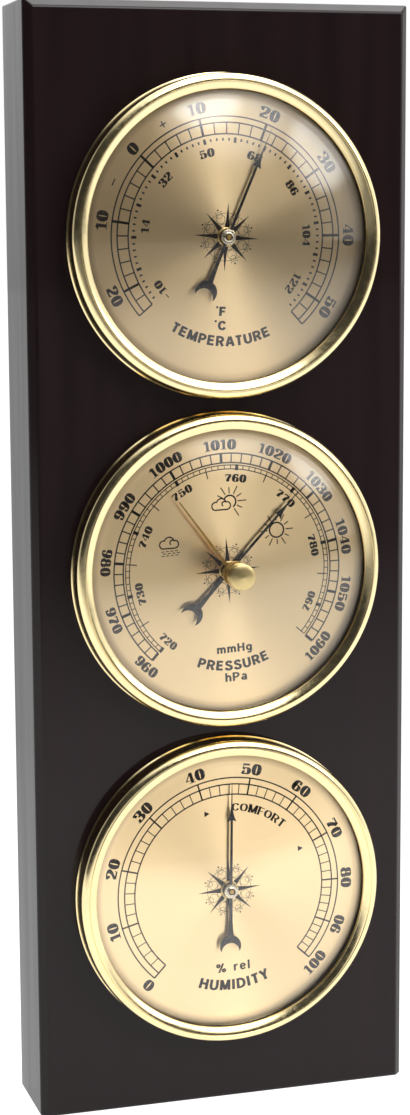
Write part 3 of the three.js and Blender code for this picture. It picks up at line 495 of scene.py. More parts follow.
def settle(piece, instrument, body, turn=0.0):
    """Puts a piece built round the axis into its instrument, turned clockwise."""
    low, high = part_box(instrument + "_dial")
    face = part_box("backboard")[0].y
    piece.location = ((low.x + high.x) / 2, face, (low.z + high.z) / 2)
    piece.rotation_euler = (0, radians(INSTRUMENTS[instrument][0] + turn), 0)
    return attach(piece, body)


def fitted(name, mesh, material, slot, instrument, body="housing", turn=0.0, crease=35):
    """A smoothly shaded piece, settled in its instrument."""
    piece = shade(piece_of(name, *mesh, material, slot), crease)
    return settle(piece, instrument, body, turn)


# Print

# Numerals in a box 100 high. Paths and slants are points x, y after each other, loops are a
# middle and two half widths, bars are left, low, right and high, balls are a middle and a radius.
NUMERALS = {
    "0": {"loops": [(32, 50, 19, 47)]},
    "1": {"bars": [(22, 0, 42, 100), (8, 0, 56, 6)], "paths": [(30, 96, 20, 87, 8, 84)]},
    "2": {"paths": [(7, 76, 14, 90, 30, 97, 45, 90, 50, 73, 40, 50, 20, 27, 10, 8)],
        "bars": [(5, 0, 56, 15), (52, 0, 57, 28)], "balls": [(15, 73, 10)]},
    "3": {"paths": [(7, 80, 15, 93, 30, 97, 43, 90, 47, 75, 41, 60, 24, 53),
        (24, 52, 44, 45, 51, 27, 44, 9, 29, 3, 13, 8, 6, 20)],
        "balls": [(15, 76, 10), (14, 24, 10)]},
    "4": {"bars": [(33, 0, 53, 100), (22, 0, 63, 6), (2, 25, 64, 32)], "slants": [(4, 29, 38, 98)]},
    "5": {"paths": [(6, 20, 14, 7, 29, 3, 44, 10, 50, 31, 44, 53, 30, 60, 17, 56, 11, 47)],
        "bars": [(8, 46, 14, 99), (8, 83, 50, 99)], "balls": [(14, 24, 10)]},
    "6": {"loops": [(32, 29, 19, 26.5)], "paths": [(13, 30, 14, 58, 22, 86, 37, 97, 52, 88)],
        "balls": [(48, 80, 9)]},
    "7": {"bars": [(6, 83, 57, 99), (6, 68, 11, 99)], "paths": [(55, 85, 37, 50, 28, 22, 27, 0)]},
    "8": {"loops": [(32, 74, 16, 23.5), (32, 26.5, 20, 24.5)]},
    "-": {"bars": [(10, 42, 50, 54)]},
}
# Widths, steps and pen strokes of the numerals, as shares of their height.
NUMERAL_SPREAD = 1.46
NUMERAL_WIDTH = 0.64
NUMERAL_STEP, NARROW_STEP = 0.99, 0.74
PEN_THICK, PEN_THIN = 0.42, 0.11

# Letters in a box 100 high: the step to the next one, the straight paths and the curved paths.
LETTERS = {
    "A": (80, [(10, 0, 36, 96), (44, 96, 70, 0), (20, 30, 60, 30)], []),
    "C": (80, [], [(66, 72, 54, 87, 40, 90, 20, 80, 11, 50, 20, 20, 40, 10, 56, 14, 67, 32)]),
    "D": (80, [(10, 0, 10, 100)], [(10, 90, 34, 90, 58, 78, 66, 50, 58, 22, 34, 10, 10, 10)]),
    "E": (70, [(10, 0, 10, 100), (10, 10, 60, 10), (10, 52, 56, 52), (10, 90, 60, 90)], []),
    "F": (66, [(10, 0, 10, 100), (10, 50, 52, 50), (10, 90, 58, 90)], []),
    "H": (80, [(10, 0, 10, 100), (64, 0, 64, 100), (10, 52, 64, 52)], []),
    "I": (30, [(12, 0, 12, 100)], []),
    "M": (94, [(10, 0, 10, 100), (78, 0, 78, 100), (12, 98, 44, 5), (44, 5, 76, 98)], []),
    "O": (86, [], [(40, 90, 20, 82, 10, 50, 20, 18, 40, 10, 60, 18, 70, 50, 60, 82, 40, 90)]),
    "P": (74, [(10, 0, 10, 100)], [(10, 90, 38, 90, 56, 80, 58, 62, 40, 46, 10, 46)]),
    "R": (78, [(10, 0, 10, 100), (38, 46, 62, 0)],
        [(10, 90, 40, 90, 58, 80, 60, 62, 42, 46, 10, 46)]),
    "S": (74, [], [(60, 74, 50, 88, 34, 91, 15, 83, 14, 65, 34, 53,
        56, 40, 60, 22, 48, 11, 32, 9, 15, 14, 8, 28)]),
    "T": (70, [(33, 0, 33, 90), (3, 90, 63, 90)], []),
    "U": (80, [], [(10, 100, 10, 40, 18, 16, 37, 9, 56, 16, 64, 40, 64, 100)]),
    "Y": (74, [(5, 100, 35, 45), (65, 100, 35, 45), (35, 0, 35, 50)], []),
    "a": (64, [], [(12, 56, 28, 66, 46, 58, 48, 40, 48, 0),
        (46, 38, 20, 34, 10, 20, 24, 8, 46, 20)]),
    "e": (62, [(12, 38, 50, 38)],
        [(50, 38, 46, 57, 30, 66, 13, 57, 10, 35, 18, 13, 34, 8, 52, 18)]),
    "g": (66, [(52, 70, 52, 0)], [(52, 50, 30, 66, 11, 50, 11, 25, 30, 10, 52, 25),
        (52, 0, 42, -19, 13, -17)]),
    "h": (64, [(10, 0, 10, 100)], [(10, 45, 28, 64, 46, 58, 50, 40, 50, 0)]),
    "l": (30, [(12, 0, 12, 100)], []),
    "m": (98, [(10, 0, 10, 72)], [(10, 45, 25, 64, 42, 58, 46, 40, 46, 0),
        (46, 45, 61, 64, 78, 58, 82, 40, 82, 0)]),
    "r": (46, [(10, 0, 10, 72)], [(10, 42, 20, 60, 40, 66)]),
    "%": (96, [(24, 0, 68, 100)], [(20, 95, 7, 78, 20, 60, 33, 78, 20, 95),
        (72, 40, 59, 22, 72, 5, 85, 22, 72, 40)]),
    "°": (32, [(4, 93, 24, 93)], []),
    " ": (45, [], []),
}
LETTER_SPREAD = 1.16


def corners_of(path):
    """Points of a path given as x, y after each other in hundredths."""
    return [(x / 100, y / 100) for x, y in zip(path[::2], path[1::2])]


def smooth_path(points, steps=6):
    """A curve through all points."""
    ends = [points[0], *points, points[-1]]
    path = []
    for a, b, c, d in zip(ends, ends[1:], ends[2:], ends[3:]):
        for step in range(steps):
            t = step / steps
            path.append(tuple(
                0.5 * (2 * q + (r - p) * t + (2 * p - 5 * q + 4 * r - s) * t * t
                       + (3 * q - p - 3 * r + s) * t ** 3)
                for p, q, r, s in zip(a, b, c, d)))
    return [*path, points[-1]]


def ellipse(x, y, across, up, steps=24):
    angles = [tau * step / steps for step in range(steps + 1)]
    return [(x + across * cos(angle), y + up * sin(angle)) for angle in angles]


def stroke(path, thick, thin):
    """Quads of a pen stroke, thick where the path runs upright and thin where it runs level."""
    sides = []
    for index, (x, y) in enumerate(path):
        before, after = path[max(index - 1, 0)], path[min(index + 1, len(path) - 1)]
        dx, dy = after[0] - before[0], after[1] - before[1]
        run = hypot(dx, dy) or 1
        half = 0.5 * (thin + (thick - thin) * abs(dy / run) ** 1.5)
        sides.append(((x - dy / run * half, y + dx / run * half),
                      (x + dy / run * half, y - dx / run * half)))
    return [[a[0], a[1], b[1], b[0]] for a, b in zip(sides, sides[1:])]


def bar(left, low, right, high):
    return [(left, low), (right, low), (right, high), (left, high)]


def numeral(sign):
    """Shapes of one numeral; a nine is a six turned upside down."""
    if sign == "9":
        return [[(NUMERAL_WIDTH * NUMERAL_SPREAD - x, 1 - y) for x, y in shape]
                for shape in numeral("6")]
    parts = NUMERALS[sign]

    def each(kind):
        return [[number / 100 for number in numbers] for numbers in parts.get(kind, [])]

    def spread(path):
        return [(x * NUMERAL_SPREAD, y) for x, y in path]

    shapes = []
    for loop in each("loops"):
        shapes += stroke(spread(ellipse(*loop)), PEN_THICK, PEN_THIN)
    for path in parts.get("paths", []):
        shapes += stroke(spread(smooth_path(corners_of(path))), PEN_THICK, PEN_THIN)
    for path in parts.get("slants", []):
        shapes += stroke(spread(corners_of(path)), PEN_THIN, PEN_THIN)
    shapes += [spread(bar(*sides)) for sides in each("bars")]
    shapes += [spread(ellipse(x, y, radius, radius * 1.1, 12))[:-1]
               for x, y, radius in each("balls")]
    return shapes


def number(text, height):
    """Shapes of a number, centred on its middle, on a baseline at zero."""
    steps = [NARROW_STEP if sign == "1" else NUMERAL_STEP for sign in text]
    shapes, left = [], -sum(steps) / 2
    for sign, step in zip(text, steps):
        side = left - (0.1 if sign == "1" else 0)
        shapes += [[((x + side) * height, y * height) for x, y in shape]
                   for shape in numeral(sign)]
        left += step
    return shapes


def foot(x, y):
    """A short cross stroke at the end of a stem."""
    return bar(x - 0.17, y - 0.03, x + 0.17, y + 0.03)


def lettering(text, height, thick=0.26, thin=0.22, spacing=0.07, feet=False):
    """Shapes of a word, centred, on a baseline at zero, with feet on its stems or without."""
    shapes, left = [], 0.0
    for sign in text:
        step, straight, curved = LETTERS[sign]
        shifted = []
        for path in map(corners_of, straight):
            shifted += stroke(path, thick, thin)
            if feet and path[0][0] == path[1][0]:
                shifted += [foot(path[0][0], y) for y in (0.03, 0.97)]
        for path in curved:
            shifted += stroke(smooth_path(corners_of(path)), thick, thin)
        shapes += [[(x + left, y) for x, y in shape] for shape in shifted]
        left += step / 100 + spacing
    middle = (left - spacing) / 2
    return [[((x - middle) * height * LETTER_SPREAD, y * height) for x, y in shape]
            for shape in shapes]


def at_bearing(radius, angle):
    """The point at a radius and an angle clockwise from the top."""
    return (radius * sin(angle), radius * cos(angle))


class Print:
    """Flat printed shapes on one dial, in millimetres right of and above its centre."""

    def __init__(self):
        self.points, self.faces = [], []

    def shape(self, corners):
        turn = sum(a[0] * b[1] - b[0] * a[1]
                   for a, b in zip(corners, [*corners[1:], corners[0]]))
        if turn < 0:
            corners = corners[::-1]
        start = len(self.points)
        self.points += [(x, DIAL_FACE - PRINT_LIFT, z) for x, z in corners]
        self.faces.append(tuple(range(start, len(self.points))))

    def shapes(self, group, x=0.0, y=0.0):
        for corners in group:
            self.shape([(u + x, v + y) for u, v in corners])

    def bent(self, group, radius, bearing, tops_inwards=False):
        """Shapes on a baseline that runs round the dial."""
        sense = -1 if tops_inwards else 1
        for corners in group:
            self.shape([at_bearing(radius + sense * v, radians(bearing) + sense * u / radius)
                        for u, v in corners])

    def reading(self, value, height, radius, bearing, left, right):
        """A number outside a circle, its top inwards beyond the left and right bearings."""
        inwards = not left < bearing < right
        self.bent(number(str(value), height), radius + height * inwards, bearing, inwards)

    def circle(self, radius, width, start=-HALF_SWEEP, end=HALF_SWEEP, steps=120):
        inner, outer = radius - width / 2, radius + width / 2
        angles = [radians(start + (end - start) * step / steps)
                  for step in range(steps + 1)]
        for a, b in zip(angles, angles[1:]):
            self.shape([at_bearing(inner, a), at_bearing(outer, a),
                        at_bearing(outer, b), at_bearing(inner, b)])

    def tick(self, inner, outer, bearing, width):
        angle = radians(bearing)
        along = (sin(angle), cos(angle))
        aside = (cos(angle) * width / 2, -sin(angle) * width / 2)
        self.shape([(along[0] * r + aside[0] * s, along[1] * r + aside[1] * s)
                    for r, s in ((inner, -1), (inner, 1), (outer, 1), (outer, -1))])

    def ticks(self, inner, outer, bearings, width):
        for bearing in bearings:
            self.tick(inner, outer, bearing, width)

    def line(self, path, width, x=0.0, y=0.0):
        self.shapes(stroke(path, width, width), x, y)

    def dot(self, x, y, radius, sides):
        self.shape(ellipse(x, y, radius, radius, sides)[:-1])


def compass_rose(dial):
    """Eight points, one half of each filled, over a ring of scallops and small buds."""
    for index in range(8):
        reach = 8.6 if index % 2 == 0 else 8.0
        angle = radians(45 * index)

        def turned_by(x, y, angle=angle):
            return (x * cos(angle) + y * sin(angle), y * cos(angle) - x * sin(angle))

        filled = ((0, 1.2), (0.7, 2.3), (0, reach))
        slim = ((0, 1.2), (0, reach), (-0.35, 4.2), (-0.6, 2.5))
        for half in (filled, slim):
            dial.shape([turned_by(*corner) for corner in half])
        between = radians(45 * index + 22.5)
        for radius, scallop in ((4.6, 1.15), (5.6, 0.75)):
            dial.line(arc(*at_bearing(radius, between), scallop, 0, 360, 14), 0.1)
        dial.dot(*at_bearing(6.9, between), 0.24, 8)
        for side in (-7, 7):
            dial.dot(*at_bearing(6.45, between + radians(side)), 0.15, 6)
    dial.circle(3.3, 0.12, 0, 360, 40)
    dial.circle(5.9, 0.1, 0, 360, 60)


def scale_box(dial, rims, line, last=HALF_SWEEP):
    """The circles of a scale and the two radial lines that close it."""
    for radius in rims:
        dial.circle(radius, line, end=last)
    dial.ticks(min(rims), max(rims), (-HALF_SWEEP, last), line)


def thermometer_print(dial, height, line):
    """A Celsius scale with signs for cold and warm, and a Fahrenheit scale inside it."""
    outer, middle, inner, numbers = 29.6, 28.1, 25.3, 30.8

    def bearing(celsius):
        return (celsius - CELSIUS_AT_TOP) * TURN_PER_CELSIUS

    def bearing_fahrenheit(fahrenheit):
        return bearing((fahrenheit - FREEZING_FAHRENHEIT) / FAHRENHEIT_PER_CELSIUS)

    scale_box(dial, (outer, middle, inner), line)
    dial.ticks(inner, middle, map(bearing, range(-24, 55, 2)), line * 0.9)
    for celsius in range(-20, 51, 10):
        dial.tick(inner, outer, bearing(celsius), line * 1.8)
        dial.reading(abs(celsius), height, numbers, bearing(celsius), -110, 125)
    level, upright = [(-0.85, 1.1), (0.85, 1.1)], [(0, 0.25), (0, 1.95)]
    for celsius, marks in ((5, (level, upright)), (-5, (level,))):
        for mark in marks:
            dial.bent(stroke(mark, 0.3, 0.3), numbers, bearing(celsius))
    for fahrenheit in range(-10, 129, 2):
        strong = fahrenheit % 10 == 0 and fahrenheit > -10
        low, high, share = (23.2, 24.5, 2) if strong else (23.6, 24.3, 1.2)
        dial.tick(low, high, bearing_fahrenheit(fahrenheit), line * share)
    for fahrenheit in (-10, *range(14, 123, 18)):
        dial.bent(number(str(fahrenheit), height * 0.72), 20.1, bearing_fahrenheit(fahrenheit))
    dial.shapes(lettering("°F", 2.3), -0.3, -19.6)
    dial.shapes(lettering("°C", 2.3), -0.3, -23.1)
    dial.bent(lettering("TEMPERATURE", 2.5, spacing=0.12), 27.1, 180, tops_inwards=True)


def cloud(dial, x, y, line):
    """A cloud in outline, with a curl where its lobes meet."""
    left_lobe, right_lobe = arc(-1.55, 0.05, 1.05, 250, 80, 12), arc(1.35, 0.0, 1.0, 75, -95, 12)
    crown = arc(-0.05, 0.6, 1.3, 165, 10, 14)
    dial.line([*left_lobe, *crown, *right_lobe, left_lobe[0]], line, x, y)
    dial.line(arc(0.75, 0.45, 0.62, 60, 235, 10), line, x, y)


def rain(dial, left, top, line):
    """Three rows of dashes, the middle one set off sideways."""
    for row, shift in ((top, 0), (top - 0.55, 0.45), (top - 1.1, 0)):
        for step in range(4):
            start = left + shift + step * 1.2
            dial.line([(start, row), (start + 0.8, row)], line * 0.6)


def sun(dial, x, y, line, start=0, end=360, disc=1.9):
    """A sun in outline with long and short rays."""
    dial.line(arc(x, y, disc, start, end, 24), line * 1.2)
    count = round((end - start) / 30)
    for index in range(count + (end - start < 360)):
        angle = radians(start + 30 * index)
        reach = 4.4 if index % 2 == 0 else 3.7
        dial.line([(x + r * cos(angle), y + r * sin(angle))
                   for r in (disc + 0.5, reach)], line * 0.8)


def barometer_print(dial, height, line):
    """A scale in hectopascals, one in millimetres of mercury inside it, and the weather."""
    height *= 0.9
    outer, inner, numbers = 29.9, 27.5, 30.9
    mercury_outer, mercury_inner, mercury_numbers = 26.9, 25.9, 22.7

    def bearing(hectopascal):
        return (hectopascal - HECTOPASCAL_AT_TOP) * TURN_PER_HECTOPASCAL

    def bearing_mercury(mercury):
        return bearing(mercury * HECTOPASCAL_PER_MERCURY)

    scale_box(dial, (outer, inner), line)
    for radius in (mercury_outer, mercury_inner):
        dial.circle(radius, line * 0.7)
    dial.ticks(inner, outer, map(bearing, range(960, 1061, 2)), line * 0.9)
    for hectopascal in range(960, 1061, 10):
        dial.tick(inner, outer, bearing(hectopascal), line * 2)
        dial.reading(hectopascal, height, numbers, bearing(hectopascal), -75, 110)
    dial.ticks(mercury_inner, mercury_outer, map(bearing_mercury, range(720, 796)), line * 0.6)
    for mercury in range(720, 791, 10):
        centre = bearing_mercury(mercury)
        dial.tick(mercury_inner - 0.3, mercury_outer + 0.2, centre, line * 2.4)
        dial.reading(mercury, height * 0.78, mercury_numbers, centre, -110, 110)
    dial.ticks(24.1, 26.4, map(bearing_mercury, range(725, 796, 10)), line * 0.8)
    cloud(dial, -14.9, 8.2, line)
    rain(dial, -17.2, 6.5, line)
    cloud(dial, -0.6, 16.6, line)
    sun(dial, 1.6, 17.5, line, -60, 150, disc=1.6)
    sun(dial, 13.6, 9.0, line)
    dial.shapes(lettering("mmHg", 2.15, 0.22, 0.18, 0.12), 0.5, -21.3)
    dial.bent(lettering("PRESSURE", 2.5, spacing=0.13), 25.9, 180, tops_inwards=True)
    dial.shapes(lettering("hPa", 2.25, 0.22, 0.18, 0.12), 0.5, -28.8)


def hygrometer_print(dial, height, line):
    """A scale in per cent with the comfortable range between two arrowheads."""
    outer, middle, inner, numbers = 29.8, 28.1, 25.4, 30.8

    def bearing(humidity):
        low = min(humidity // 10, 9)
        first, second = HUMIDITY_TENS[low:low + 2]
        return first + (second - first) * (humidity / 10 - low)

    scale_box(dial, (outer, middle, inner), line, HUMIDITY_TENS[-1])
    dial.ticks(inner, middle, map(bearing, range(2, 100, 2)), line * 0.7)
    for humidity in range(0, 101, 10):
        dial.tick(inner, outer, bearing(humidity), line * 1.2)
        dial.reading(humidity, height, numbers, bearing(humidity), -140, 110)
    arrowhead = [(-0.55, -0.75), (0.85, 0), (-0.55, 0.75)]
    for humidity in (40, 70):
        dial.shapes([arrowhead], *at_bearing(21.5, radians(bearing(humidity))))
    dial.bent(lettering("COMFORT", 2.2, 0.24, 0.09, 0.05, feet=True), 20.9, 25.4)
    dial.shapes(lettering("% rel", 2.4, 0.2, 0.17, 0.14), 0, -22.0)
    dial.bent(lettering("HUMIDITY", 2.75, spacing=0.13), 27.0, 180, tops_inwards=True)


# Outlines of the turned pieces, as (radius, depth) in millimetres

def bezel_outline(bezel):
    """A thin foot, a plain wall, a rolled edge, a groove and a slope down to the window."""
    radius, roll, window, groove = (value / MM for value in (
        bezel.radius, bezel.roll, bezel.window, bezel.groove))
    foot_spread, lip = 0.3, 0.25
    crest = radius - roll
    hollow = [(crest - 2 * groove * step / 6,
               BEZEL_FRONT + groove * sin(pi * step / 6) ** 2) for step in range(1, 7)]
    slope_start, slope_end = crest - 2 * groove, window + lip
    slope = [(slope_start + (slope_end - slope_start) * t, BEZEL_FRONT + 0.65 * t ** 1.35)
             for t in (step / 10 for step in range(1, 11))]
    return [(BEZEL_BORE, -0.3), (radius + foot_spread, -0.3), (radius + foot_spread, -0.9),
            (radius, -1.2), *arc(crest, BEZEL_FRONT + roll, roll, 0, -90, 16), *hollow, *slope,
            *arc(window + lip, BEZEL_FRONT + 0.9, lip, -90, -180, 5), (window, -5.6),
            (BEZEL_BORE, -5.6)]


def cap(edge, edge_depth, crown_depth, inner, steps=24):
    """Outline of a glass dome from its edge to a smaller radius."""
    rise = edge_depth - crown_depth
    sphere = (edge ** 2 + rise ** 2) / (2 * rise)
    radii = [edge + (inner - edge) * step / steps for step in range(steps + 1)]
    return [(r, crown_depth + sphere - sqrt(sphere ** 2 - r ** 2)) for r in radii]


def glass_outline(hole):
    """A flat edge under a dome, with a hole at the crown or none."""
    return [(GLASS_EDGE, GLASS_FRONT), *cap(DOME_EDGE, GLASS_FRONT, DOME_CROWN, hole),
            *cap(DOME_EDGE - GLASS_WALL, GLASS_BACK, DOME_CEILING, hole)[::-1],
            (GLASS_EDGE, GLASS_BACK)]


def bead_outline(circle):
    """A round bead pressed out of the back of a case along a circle."""
    return [(circle - 0.9, CASE_BACK - 0.05),
            *arc(circle, CASE_BACK - 0.35, 0.95, 160, 20, 8), (circle + 0.9, CASE_BACK - 0.05)]


DIAL_SHEET_OUTLINE = [
    (DIAL_EDGE, DIAL_FACE), (DIAL_EDGE, DIAL_FACE - 0.015),
    (DIAL_EDGE - 0.01, DIAL_FACE - DIAL_SHEET), (BEARING_TUBE + 0.01, DIAL_FACE - DIAL_SHEET),
    (BEARING_TUBE, DIAL_FACE - 0.015), (BEARING_TUBE, DIAL_FACE)]
COLLAR = [
    (1.95, DIAL_FACE - 0.03), (2.4, DIAL_FACE - 0.03), (2.4, -3.35),
    *arc(2.15, -3.4, 0.25, 0, -90, 5), (2.05, -3.65), (1.95, -3.55)]
HAND_BOSS = [
    (0.9, -4.1), (1.4, -4.1), (1.4, -4.35), (1.75, -4.35), (1.9, -4.5), (1.9, -4.85),
    (1.8, -5.0), (1.65, -5.05), (1.3, -5.05), (1.25, -5.35), (1.15, -5.45), (1.0, -5.5),
    (0.9, -5.4)]
SET_HAND_HUB = [
    (1.4, SET_HAND_BACK), (1.8, SET_HAND_BACK), (2.0, SET_HAND_BACK - 0.2), (2.0, -6.85),
    (1.85, -7.0), (1.4, -7.0)]
KNOB_GROOVE = [(3.35 - 0.22 * sin(pi * step / 8) ** 2, -14.5 - 0.5 * step / 8)
               for step in range(9)]
KNOB = [
    (0, -5.8), (1.1, -5.8), (1.1, KNOB_BACK), (3.05, KNOB_BACK),
    *arc(3.1, KNOB_BACK - 0.25, 0.25, 90, 0, 4), *KNOB_GROOVE, *arc(3.1, -15.75, 0.25, 0, -70, 5),
    (2.2, -16.18), (1.2, -16.34), (0.3, -16.475), (0, -16.495)]
BUSH = [
    (1.4, -9.2), (1.4, -12.5), (2.1, -12.5), (2.5, -12.35), (2.65, -12.1), (2.65, -11.8),
    (2.0, -11.8), (2.0, -10.0), (3.3, -10.0), (3.3, -9.4), (3.1, -9.2)]


def needle_outline(reach):
    """A lance with a barbed head, and a tail that ends in a crescent, as (right, up)."""
    half_blade = [(0.36, 0), (0.32, 9), (0.29, 18.9), (1.1, 18.6), (1.18, 18.75), (0.74, 19.6),
                  (0.42, 20.7), (0.22, 22.0), (0.13, 23.2)]
    tail = [(0.36, -1.5), (0.45, -8), (0.7, -11.7)]
    horn = arc(0, -14.7, 2.85, 74, -30.87, 12)
    bite = arc(0, -16.3, 2.45, 3.22, 176.78, 18)
    half = half_blade[::-1] + tail + horn
    return [(0, reach)] + half + bite[1:-1] + [(-x, z) for x, z in half[::-1]]


# Operators

class BAROMETER_OT_board(Operator):
    """Finish the lacquered board and rub its edges down"""

    bl_idname = "barometer.board"
    bl_label = "Board"

    def execute(self, context):
        rubbed("lacquered_board", "backboard", settings("board").softness, lacquer())
        return {"FINISHED"}


class BAROMETER_OT_bezels(Operator):
    """Turn the three rolled gold bezels"""

    bl_idname = "barometer.bezels"
    bl_label = "Bezels"

    def execute(self, context):
        mesh = turned(bezel_outline(settings("bezel")), 192)
        gold = polished_gold()
        for name in INSTRUMENTS:
            piece = fitted(name + "_rolled_bezel", mesh, gold, "gold_bezel", name, crease=32)
            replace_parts(piece, name + "_bezel")
        return {"FINISHED"}


class BAROMETER_OT_glasses(Operator):
    """Blow the three domed glasses, one of them bored for the knob's bush"""

    bl_idname = "barometer.glasses"
    bl_label = "Glasses"

    def execute(self, context):
        glass = clear_glass()
        for name in INSTRUMENTS:
            mesh = turned(glass_outline(BUSH_HOLE if name == "barometer" else 0), 128)
            piece = fitted(name + "_domed_glass", mesh, glass, "domed_glass", name)
            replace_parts(piece, name + "_glass")
        return {"FINISHED"}


class BAROMETER_OT_dials(Operator):
    """Lay the brushed faces on the dial plates and print their scales"""

    bl_idname = "barometer.dials"
    bl_label = "Dials"

    def execute(self, context):
        sizes, ink = settings("dial"), printing_ink()
        champagne = finish_named("brushed_champagne", brushed_champagne)
        brass = finish_named("pale_brass", pale_brass)
        sheet, collar = turned(DIAL_SHEET_OUTLINE, 128), turned(COLLAR, 64)
        prints = (thermometer_print, barometer_print, hygrometer_print)
        for name, print_scales in zip(INSTRUMENTS, prints):
            fitted(name + "_dial_face", sheet, champagne, "printed_dial", name)
            dial = Print()
            print_scales(dial, sizes.numeral / MM, sizes.line / MM)
            compass_rose(dial)
            scale = piece_of(name + "_scale", dial.points, dial.faces, ink, "printed_dial")
            settle(scale, name, "housing")
            fitted(name + "_dial_collar", collar, brass, "movement_brass", name)
        return {"FINISHED"}


class BAROMETER_OT_needles(Operator):
    """Stamp the three black needles and set them to their readings"""

    bl_idname = "barometer.needles"
    bl_label = "Needles"

    def execute(self, context):
        black = painted_black()
        nickel = metal("hub_nickel", (214, 206, 186), 0.28)
        bodies = ("temperature_hand", "pressure_hand", "humidity_hand")
        outline = needle_outline(settings("hand").reach / MM)
        mesh, boss = blade(outline[::-1], NEEDLE_FRONT, NEEDLE_BACK), turned(HAND_BOSS, 64)
        for (name, (_, reading)), body in zip(INSTRUMENTS.items(), bodies):
            piece = fitted(name + "_hand", mesh, black, "black_needle", name, body, reading, 12)
            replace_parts(piece, name + "_needle")
            fitted(name + "_hand_boss", boss, nickel, "movement_brass", name, body)
        return {"FINISHED"}


class BAROMETER_OT_set_hand(Operator):
    """Fit the brass set hand with its knob and the bush in the glass"""

    bl_idname = "barometer.set_hand"
    bl_label = "Set Hand"

    def execute(self, context):
        brass = finish_named("pale_brass", pale_brass)
        drawn = metal("drawn_brass", (168, 134, 78), 0.4)
        reach = settings("hand").set_reach / MM
        pointer = [(0.5, 0), (0.16, reach - 0.3), (0, reach), (-0.16, reach - 0.3), (-0.5, 0)]
        mesh = together(blade(pointer[::-1], SET_HAND_FRONT, SET_HAND_BACK),
                        turned(SET_HAND_HUB, 48))
        hand = fitted("brass_set_hand", mesh, drawn, "knob_brass", "barometer", "marker",
                      SET_HAND_ANGLE)
        edges = hand.modifiers.new("soft_edges", "BEVEL")
        edges.width = 0.05 * MM
        edges.segments = 2
        edges.limit_method = "ANGLE"
        edges.angle_limit = radians(30)
        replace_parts(hand, "set_hand")
        knob = fitted("cone_faced_knob", turned(KNOB, 96), brass, "knob_brass", "barometer",
                      "marker", crease=40)
        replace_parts(knob, "set_knob")
        bush = fitted("glass_bush_turned", turned(BUSH, 64), brass, "knob_brass", "barometer")
        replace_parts(bush, "glass_bush")
        return {"FINISHED"}


class BAROMETER_OT_cases(Operator):
    """Spin the three cases with their pressed beads, and dress the hanger"""

    bl_idname = "barometer.cases"
    bl_label = "Cases"

    def execute(self, context):
        zinc = spun_zinc()
        for name, inner_bead in zip(INSTRUMENTS, (17.5, 21.5, 17.5)):
            case = rubbed(name + "_spun_case", name + "_case", 0.35 * MM, zinc)
            settle(case, name, "housing", -INSTRUMENTS[name][0])
            case.data.transform(Matrix.Translation(-case.location))
            for index, circle in enumerate((28.9, inner_bead)):
                fitted(f"{name}_case_bead_{index + 1}", turned(bead_outline(circle), 128), zinc,
                       "case_zinc", name)
        plate = metal("hanger_zinc", (186, 188, 186), 0.36, 600)
        rubbed("keyhole_plate", "hanger_plate", 0.25 * MM, plate)
        return {"FINISHED"}


class BAROMETER_OT_fittings(Operator):
    """Give the clips, the seals, the cradles and the movements their finishes"""

    bl_idname = "barometer.fittings"
    bl_label = "Fittings"

    def execute(self, context):
        # The first of these words in a node's name says which finish it gets.
        finishes = (
            (metal("spring_steel", (150, 152, 156), 0.33),
             ("clip", "base_screw", "capsule_post", "rocking_lever", "pinion_staff", "hairspring")),
            (metal("bimetal_strip", (176, 122, 74), 0.4), ("bimetal_coil",)),
            (metal("humidity_strip", (196, 170, 132), 0.55), ("humidity_coil",)),
            (seal_rubber(), ("glass_seal",)),
            (finish_named("brushed_champagne", brushed_champagne), ("dial",)),
            (metal("zinc_plate", (188, 190, 188), 0.42), ("hanger",)),
            (metal("movement_brass", (190, 155, 92), 0.34),
             ("cradle", "regulator", "staff", "plate", "pillar", "front_bridge",
              "aneroid_capsule", "toothed_sector", "adjusting_screw")),
        )
        for name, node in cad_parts.items():
            if node.hide_render:
                continue
            found = next((finish for finish, words in finishes
                          if any(word in name for word in words)), None)
            if found is None:
                raise RuntimeError(f"no finish is stated for {name}")
            for slot in node.material_slots:
                slot.material = found
        return {"FINISHED"}


# Stage

# Soft patches of light round the board: direction, cosine of the angle at the patch's edge and
# where it is full, and radiance.
ROOM = (
    ((0, 1, 0), -0.1, 0.25, 0.55),
    ((0, 0.75, 0.66), 0.6, 0.9, 1.1),
    ((0.25, -0.1, 0.96), 0.55, 0.85, 1.4),
    ((0.29, 0.08, 0.95), 0.92, 0.975, 5.5),
    ((1, -0.1, 0.05), 0.66, 0.91, 1.1),
    ((0.3, -0.66, 0.69), 0.885, 0.965, 2.9),
    ((0.18, -0.735, 0.655), 0.975, 0.993, 5.0),
    ((0.69, -0.63, 0.34), 0.98, 0.996, 5.0),
)
DIM = 0.03

# How far the floor lies under the board and reaches to each side, in metres.
FLOOR_DROP = 0.0005
FLOOR_REACH = 6

# The key lamp's place, its aim and the length of its sides, in metres, and its radiance.
KEY_PLACE = (0.6, -0.55, -0.02)
KEY_TARGET = (0, -0.02, -0.13)
KEY_SIDE = 0.26
KEY_RADIANCE = 9

# The camera's place in metres, and how far it looks to the right and up and leans, in degrees.
CAMERA_PLACE = (-0.1736, -0.5843, -0.0411)
CAMERA_TURN = (16.77, -8.6, -0.34)
LENS_MILLIMETRES, FILM_MILLIMETRES = 74.62, 36


